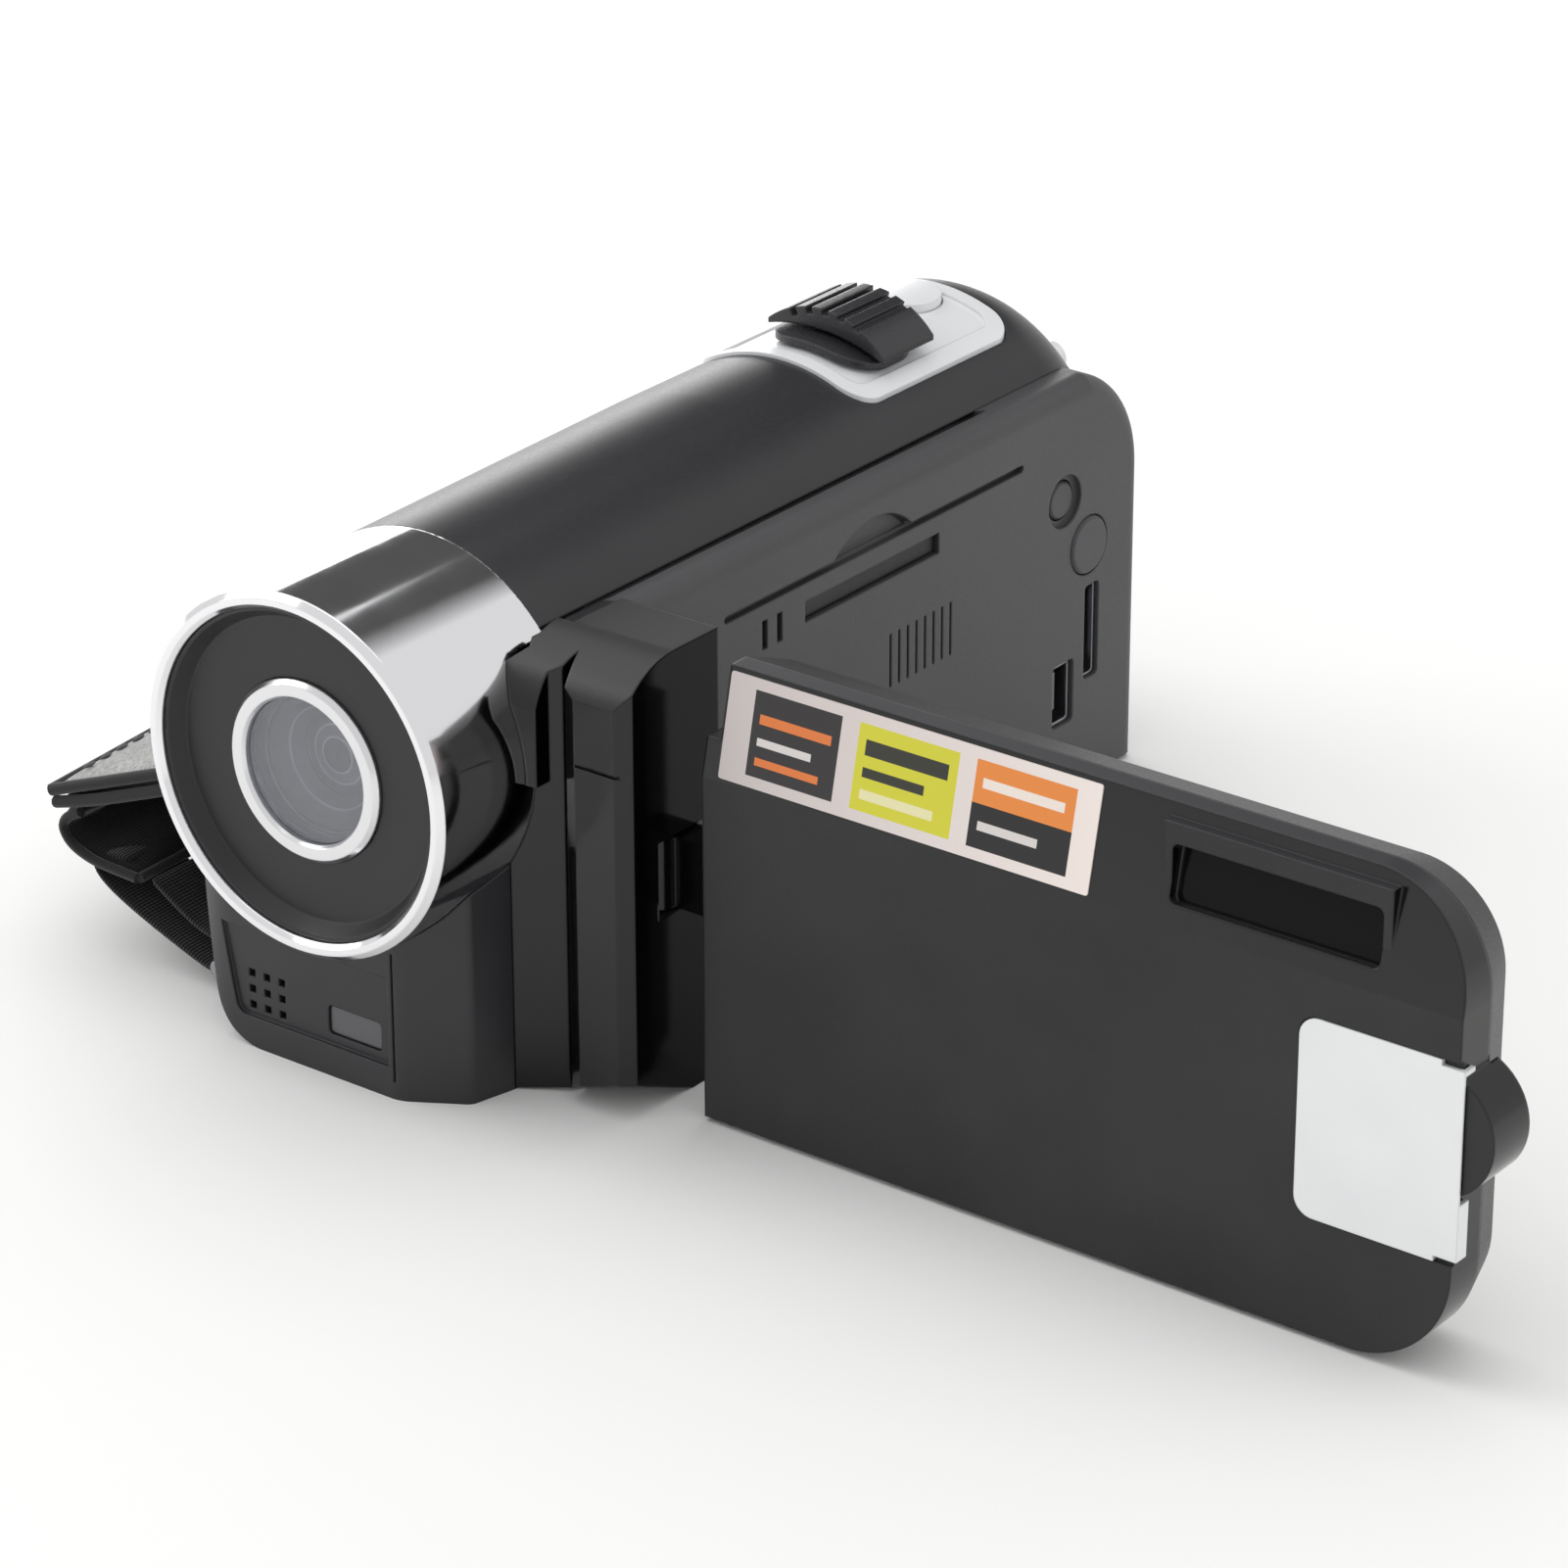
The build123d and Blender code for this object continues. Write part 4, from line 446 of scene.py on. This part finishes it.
for names, finish in (
    (["top_hood"], hood_plastic),
    (["left_shell", "right_shell"], side_plastic),
    (["rear_panel", "mode_button", "playback_button", "record_ring", "power_button", "battery_door"], small_grey),
    (["front_cover"], chin_plastic),
    (["hinge_turret"], gloss_black),
    (["lcd_outer_cover"], panel_plastic),
    (["lcd_inner_bezel"], bezel_plastic),
    (["lens_sleeve"], sleeve_chrome),
    (["lens_trim_ring"], trim_chrome),
    (["zoom_plate", "shutter_button", "record_button", "rear_cap"], silver),
    (["badge_plate"], badge_silver),
    (["zoom_lever"], lever_plastic),
    (["lens_face_ring"], face_black),
    (["lens_barrel"], barrel_grey),
    (["inner_lens"], inner_grey),
    (["front_glass", "rear_lens"], lens_glass),
    (["light_window", "status_lens"], lamp_window),
    (["lcd_window", "lcd_module", "image_sensor"], window_glass),
    (["sensor_board", "lamp_board", "top_board", "main_board", "side_board", "rear_board"], board_green),
    (["battery_contacts"], contact_gold),
    (["tripod_nut", "body_screws", "panel_screws", "hinge_pin", "swivel_shaft", "shaft_clip"], steel),
    (["swivel_bracket", "strap_lug_front", "strap_lug_rear", "usb_connector", "hdmi_connector"], steel),
    (["microphone", "memory_card", "card_socket", "speaker"], port_black),
    (["top_switches", "side_switches", "battery_pack"], port_black),
    (["label_sticker"], label_paper),
):
    for name in names:
        paint(name, finish)


# ---- hand strap ----
# The strap's ends along the body and the line where it leaves the shell, in mm.
strap_start, strap_end = -50.5, 37.0
strap_root = -21.0
# How far it stands off, at places along it: furthest a third of the way back, and close to the body at the rear.
strap_reach = ((strap_start, 1.0), (-20.0, 1.1), (strap_end, 0.75))
# How a leaf fills in at each end: distance from the end, in mm, and the share of its full thickness there.
fill_in = ((0.0, 0.3), (2.0, 0.8), (6.0, 1.0))
# The cloth simulation's length, in frames.
cloth_frames = 14
# The way that the strap's upper leaf faces.
strap_top = Vector((-0.39, 0, 0.92))


def reach(y):
    """How far the strap stands off the body at one place along it, as a share of its reach at the front."""
    for (y0, r0), (y1, r1) in zip(strap_reach, strap_reach[1:]):
        if y <= y1:
            return r0 + (r1 - r0) * max(0.0, y - y0) / (y1 - y0)
    return strap_reach[-1][1]


def bowed(x, y, z):
    """A point of the straight strap, in mm, moved to where the bowed strap has it, in metres."""
    return Vector((strap_root + (x - strap_root) * reach(y), y, z)) * MM


def new_piece(name, mesh, finish):
    """A finished mesh as a piece on the body."""
    made = bpy.data.objects.new(name, mesh)
    bpy.context.scene.collection.objects.link(made)
    made.data.materials.append(finish.material)
    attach(made, "body")
    return made


def smoothed(mesh, levels):
    """The mesh after subdivision, with smooth shading."""
    cage = bpy.data.objects.new("cage", mesh)
    bpy.context.scene.collection.objects.link(cage)
    cage.modifiers.new("round", "SUBSURF").levels = levels
    made = bpy.data.meshes.new_from_object(cage.evaluated_get(bpy.context.evaluated_depsgraph_get()))
    bpy.data.objects.remove(cage)
    made.shade_smooth()
    return made


def sides(line):
    """For each point of an (x, z) line, the unit normal across it."""
    normals = []
    for i in range(len(line)):
        before, after = line[max(i - 1, 0)], line[min(i + 1, len(line) - 1)]
        along = Vector((after[0] - before[0], after[1] - before[1])).normalized()
        normals.append(Vector((-along.y, along.x)))
    return normals


def closed(name, shape, top, under):
    """Joins two grids of corners into one closed mesh: both faces, both sides and both ends."""
    rows, columns = len(top) - 1, len(top[0]) - 1
    for j in range(rows):
        for i in range(columns):
            shape.faces.new((top[j][i], top[j][i + 1], top[j + 1][i + 1], top[j + 1][i]))
            shape.faces.new((under[j][i], under[j + 1][i], under[j + 1][i + 1], under[j][i + 1]))
        shape.faces.new((top[j][0], top[j + 1][0], under[j + 1][0], under[j][0]))
        shape.faces.new((top[j][columns], under[j][columns], under[j + 1][columns], top[j + 1][columns]))
    for i in range(columns):
        shape.faces.new((top[0][i], under[0][i], under[0][i + 1], top[0][i + 1]))
        shape.faces.new((top[rows][i], top[rows][i + 1], under[rows][i + 1], under[rows][i]))
    bmesh.ops.recalc_face_normals(shape, faces=shape.faces)
    mesh = bpy.data.meshes.new(name)
    shape.to_mesh(mesh)
    shape.free()
    return mesh


def leaf_cage(line, start, end):
    """A closed cage round a padded band: line is its middle, as (x, z, half thickness)."""
    shape = bmesh.new()
    stations = [(start + inset, share) for inset, share in fill_in]
    stations += [(start + (end - start) * k / 8, 1.0) for k in range(2, 7)]
    stations += [(end - inset, share) for inset, share in fill_in]
    stations.sort()
    normals = sides([p[:2] for p in line])
    grids = []
    for sign in (1, -1):
        grid = []
        for y, share in stations:
            row = []
            for (x, z, half), normal in zip(line, normals):
                push = sign * half * share
                row.append(shape.verts.new(bowed(x + normal.x * push, y, z + normal.y * push)))
            grid.append(row)
        grids.append(grid)
    return closed("leaf", shape, *grids)


def swollen(mesh, cap_mm):
    """The padding pushes the cloth outwards: a short cloth simulation without weight, because the stiff band holds
    itself up, with each point's travel limited."""
    pad = bpy.data.objects.new("pad", mesh)
    bpy.context.scene.collection.objects.link(pad)
    start = [v.co.copy() for v in mesh.vertices]
    cloth = pad.modifiers.new("cloth", "CLOTH")
    cloth.settings.use_pressure = True
    cloth.settings.uniform_pressure_force = 4.0
    cloth.settings.effector_weights.gravity = 0
    cloth.settings.mass = 0.15
    cloth.settings.quality = 6
    cloth.point_cache.frame_start, cloth.point_cache.frame_end = 1, cloth_frames
    for step in range(1, cloth_frames + 1):
        bpy.context.scene.frame_set(step)
    done = bpy.data.meshes.new_from_object(pad.evaluated_get(bpy.context.evaluated_depsgraph_get()))
    bpy.context.scene.frame_set(1)
    bpy.data.objects.remove(pad)
    for vertex, origin in zip(done.vertices, start):
        travel = vertex.co - origin
        if travel.length > cap_mm * MM:
            vertex.co = origin + travel.normalized() * cap_mm * MM
    done.shade_smooth()
    return done


def rumpled(mesh, depth_mm, size_mm, seed):
    """Small uneven dents over a soft surface, worked out from each point's own place."""
    for vertex in mesh.vertices:
        lump = noise.noise(vertex.co / (size_mm * MM) + Vector((seed, 0, 0)))
        vertex.co += vertex.normal * lump * depth_mm * MM
    return mesh


def piping(name, points, radius_mm):
    """A round strand of edging along a smooth line of points, in metres."""
    curve = bpy.data.curves.new(name, "CURVE")
    curve.dimensions = "3D"
    curve.resolution_u = 6
    curve.bevel_depth = radius_mm * MM
    curve.bevel_resolution = 3
    curve.use_fill_caps = True
    line = curve.splines.new("NURBS")
    line.points.add(len(points) - 1)
    for spot, point in zip(line.points, points):
        spot.co = (*point, 1)
    line.order_u = 3
    line.use_endpoint_u = True
    return new_piece(name, curve, strap_piping)


# The middle lines of the three leaves in section: x, z and half thickness, in mm.
upper_line = [
    (-22.6, 26.9, 0.5),
    (-24.6, 26.3, 0.95),
    (-28.5, 24.9, 1.15),
    (-33.0, 23.1, 1.2),
    (-37.8, 21.2, 1.15),
    (-41.9, 19.6, 0.95),
    (-44.6, 18.5, 0.5),
]
lower_line = [
    (-40.4, 17.0, 0.7),
    (-43.5, 15.6, 1.6),
    (-42.6, 12.9, 1.9),
    (-39.2, 11.6, 1.9),
    (-35.6, 11.4, 1.6),
    (-32.4, 11.3, 0.7),
]
inner_line = [
    (-24.2, 24.6, 0.6),
    (-29.5, 22.5, 1.0),
    (-35.0, 20.3, 1.0),
    (-40.0, 18.4, 1.0),
    (-44.1, 17.2, 0.9),
]

for name, line, finish, seed in (
    ("strap_pad_top", upper_line, strap_felt, 3.0),
    ("strap_pad_lining", inner_line, strap_cloth, 5.0),
    ("strap_pad_under", lower_line, strap_cloth, 7.0),
):
    leaf = smoothed(leaf_cage(line, strap_start + 0.6, strap_end - 0.6), 2)
    leaf = swollen(leaf, 0.5)
    leaf = rumpled(leaf, 0.25, 9.0, seed)
    new_piece(name, leaf, finish)

rows = [strap_start + 0.7 + (strap_end - strap_start - 1.4) * k / 12 for k in range(13)]
for name, x, z, radius_mm in (
    ("strap_piping_fold", -44.7, 18.4, 0.75),
    ("strap_piping_body_side", -22.9, 26.8, 0.6),
    ("strap_piping_under", -32.2, 11.3, 0.6),
):
    piping(name, [bowed(x, y, z) for y in rows], radius_mm)
for tag, y in (("front", strap_start + 0.55), ("rear", strap_end - 0.55)):
    for name, line, radius_mm in (
        ("strap_piping_", upper_line, 0.7),
        ("strap_binding_", inner_line, 0.7),
        ("strap_piping_lobe_", lower_line, 0.6),
    ):
        piping(name + tag, [bowed(x, y, z) for x, z, _ in line], radius_mm)


def stitches(name, spots, length_mm=1.9, width_mm=0.32):
    """A row of single stitches, each a low rounded bar, thinner at its ends: spots gives each one's middle, the way
    it runs and the way that faces out."""
    shape = bmesh.new()
    corners = 6
    for middle, along, outward in spots:
        across = along.cross(outward).normalized()
        rings = []
        for side, share in ((-1, 0.35), (0, 1.0), (1, 0.35)):
            place = middle + along * (side * length_mm / 2 * MM)
            ring = []
            for k in range(corners):
                turn = math.tau * k / corners
                way = across * math.cos(turn) + outward * math.sin(turn)
                ring.append(shape.verts.new(place + way * (width_mm * share * MM)))
            rings.append(ring)
        for first, second in zip(rings, rings[1:]):
            for k in range(corners):
                ahead = (k + 1) % corners
                shape.faces.new((first[k], first[ahead], second[ahead], second[k]))
        shape.faces.new(rings[0][::-1])
        shape.faces.new(rings[-1])
    mesh = bpy.data.meshes.new(name)
    shape.to_mesh(mesh)
    shape.free()
    mesh.shade_smooth()
    return new_piece(name, mesh, strap_thread)


def seam_spots(x, z, lift=1.2, pitch_mm=2.8, clear_mm=4.0):
    """Places for stitches along the strap, lift mm off its middle, and kept clear of its ends."""
    spots = []
    y = strap_start + clear_mm
    while y < strap_end - clear_mm:
        here, ahead = bowed(x, y, z), bowed(x, y + 0.5, z)
        spots.append((here + strap_top * lift * MM, (ahead - here).normalized(), strap_top))
        y += pitch_mm
    return spots


stitches("strap_stitches_fold", seam_spots(-41.4, 19.8))
stitches("strap_stitches_body_side", seam_spots(-25.4, 26.0))


# Half the webbing's thickness, how far its edges are thinned, and the radius of the lug wire that it goes round, in mm.
web_half, web_edge, wire = 0.55, 0.7, 1.1
# Round the wire the webbing's middle runs at this radius, with a little slack.
wrap = wire + web_half + 0.12


def webbing_tail(name, lug, start, end, pad_x):
    """Flat webbing from inside the pad's lower lobe down to the lug wire, round it and back, sewn to itself."""
    lug_low, lug_high = (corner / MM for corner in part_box(lug))
    wire_x, wire_z = lug_low.x + wire, (lug_low.z + lug_high.z) / 2
    line = [
        (pad_x + 2.6, 12.4),
        (pad_x - 1.6, 12.2),
        (pad_x - 3.4, 10.6),
        (pad_x - 1.8, 8.6),
        (pad_x + 3.4, 6.2),
        (wire_x - 6.4, wire_z - 1.2),
        (wire_x - 2.8, wire_z - 2.3),
        (wire_x - 0.3, wire_z - wrap),
        (wire_x + wrap * 0.72, wire_z - wrap * 0.7),
        (wire_x + wrap, wire_z + 0.1),
        (wire_x + wrap * 0.66, wire_z + wrap * 0.76),
        (wire_x - 0.3, wire_z + wrap),
        (wire_x - 2.6, wire_z + wrap + 0.2),
        (wire_x - 5.8, wire_z + 2.6),
        (pad_x + 7.4, 9.9),
        (pad_x + 5.4, 11.0),
    ]
    shape = bmesh.new()
    columns = [start, start + web_edge, start + (end - start) * 0.5, end - web_edge, end]
    thins = [0.7, 1.0, 1.0, 1.0, 0.7]
    grids = []
    for sign in (1, -1):
        grid = []
        for (x, z), normal in zip(line, sides(line)):
            row = []
            for y, thin in zip(columns, thins):
                thick = web_half * thin * sign
                row.append(shape.verts.new(Vector((x + normal.x * thick, y, z + normal.y * thick)) * MM))
            grid.append(row)
        grids.append(grid)
    tail = new_piece(name, smoothed(closed(name, shape, *grids), 2), strap_web)
    return tail


front_tail = webbing_tail("strap_tail_front", "strap_lug_front", -48.9, -37.5, -37.0)
rear_tail = webbing_tail("strap_tail_rear", "strap_lug_rear", 21.0, 32.4, -33.0)

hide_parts("strap_pad")
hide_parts("strap_webbing_front")
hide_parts("strap_webbing_rear")


# ---- floor, light and camera ----
def staged(name, size, place, finish):
    """A flat sheet of the studio, facing up until it is turned."""
    shape = bmesh.new()
    bmesh.ops.create_grid(shape, x_segments=1, y_segments=1, size=0.5)
    mesh = bpy.data.meshes.new(name)
    shape.to_mesh(mesh)
    shape.free()
    made = bpy.data.objects.new(name, mesh)
    made.scale = (*size, 1)
    made.location = place
    made.data.materials.append(finish.material)
    bpy.context.scene.collection.objects.link(made)
    return made


paper = Finish("white_backdrop_paper")
paper.set(Base_Color=colour("f7f7f6"), Roughness=0.9, Specular_IOR_Level=0.1)
staged("floor", (6, 6), (0, 0, 0), paper)

# A dark flag behind the camcorder, which only polished surfaces mirror: it puts the dark band in the chrome.
flag_cloth = Finish("grey_studio_flag")
from_centre = flag_cloth.add("Mapping", {"Vector": flag_cloth.place, "Scale": (2, 2, 2)})
from_middle = flag_cloth.add("TexGradient", [from_centre], out="Fac", gradient_type="SPHERICAL")
flag_cloth.set(
    Base_Color=colour("565656"),
    Roughness=1.0,
    Specular_IOR_Level=0.0,
    Alpha=flag_cloth.add("MapRange", [from_middle, 0.02, 0.4, 0.0, 1.0]),
)
# Where the flag stands from the camcorder, which way its long side runs, and its size and distance in metres.
flag_way = Vector((-0.36, 0.72, 0.56)).normalized()
flag_along = Vector((0.84, 0.0, 0.54))
flag_along = (flag_along - flag_along.dot(flag_way) * flag_way).normalized()
flag_across = flag_way.cross(flag_along)
flag_length, flag_width, flag_away = 1.9, 1.0, 1.3
flag = staged("flag", (1, 1), (0, 0, 0), flag_cloth)
flag.matrix_world = Matrix(
    [
        [flag_along[i] * flag_length, flag_across[i] * flag_width, flag_way[i], flag_way[i] * flag_away]
        for i in range(3)
    ]
    + [[0, 0, 0, 1]]
)
flag.visible_camera = flag.visible_diffuse = flag.visible_shadow = flag.visible_transmission = False

# The camera looks past the middle of the lens face, which lies aside, above and away from it, in mm.
azimuth, elevation, roll = (math.radians(a) for a in (37.553, 24.852, -0.136))
aside, above, away = -50.79, 0.556, 630.88
back = Vector((math.sin(azimuth) * math.cos(elevation), -math.cos(azimuth) * math.cos(elevation), math.sin(elevation)))
level = (-back).cross(Vector((0, 0, 1))).normalized()
upright = level.cross(-back)
right = math.cos(roll) * level + math.sin(roll) * upright
up = -math.sin(roll) * level + math.cos(roll) * upright
lens_front = Vector((0, -60, 36)) * MM
camera = bpy.data.objects.new("camera", bpy.data.cameras.new("camera"))
camera.data.sensor_width = 36
camera.data.lens = 140.67
camera.data.clip_start = 0.01
eye = lens_front - (aside * right + above * up - away * back) * MM
camera.matrix_world = Matrix([[right[i], up[i], back[i], eye[i]] for i in range(3)] + [[0, 0, 0, 1]])
bpy.context.scene.collection.objects.link(camera)
bpy.context.scene.camera = camera
bpy.context.scene.view_settings.view_transform = "Standard"

# Where the lamps are aimed, in metres.
camcorder_middle = Vector((0.03, -0.01, 0.02))


def softbox(name, place, size, power):
    """A rectangular area light aimed at the camcorder."""
    light = bpy.data.lights.new(name, "AREA")
    light.shape = "RECTANGLE"
    light.size, light.size_y = size
    light.energy = power
    made = bpy.data.objects.new(name, light)
    made.location = place
    made.rotation_euler = (Vector(place) - camcorder_middle).to_track_quat("Z", "Y").to_euler()
    bpy.context.scene.collection.objects.link(made)


softbox("top_softbox", (-0.15, 0.1, 0.9), (0.9, 0.9), 2.2)
softbox("front_left_softbox", (-0.8, -0.35, 0.6), (0.5, 0.7), 2.4)
softbox("rear_left_softbox", (-0.95, 0.75, 0.22), (0.8, 0.36), 2.4)

# A white room: the camera sees it pure white, and it lights the camcorder a little less than that.
world = bpy.context.scene.world or bpy.data.worlds.new("studio")
bpy.context.scene.world = world
world.use_nodes = True
sky = world.node_tree.nodes["Background"]
fill(sky.inputs["Color"], colour("ffffff"))
seen = add_node(world.node_tree, "LightPath", out="Is Camera Ray")
fill(sky.inputs["Strength"], add_node(world.node_tree, "MapRange", [seen, 0.0, 1.0, 0.8, 1.0]))
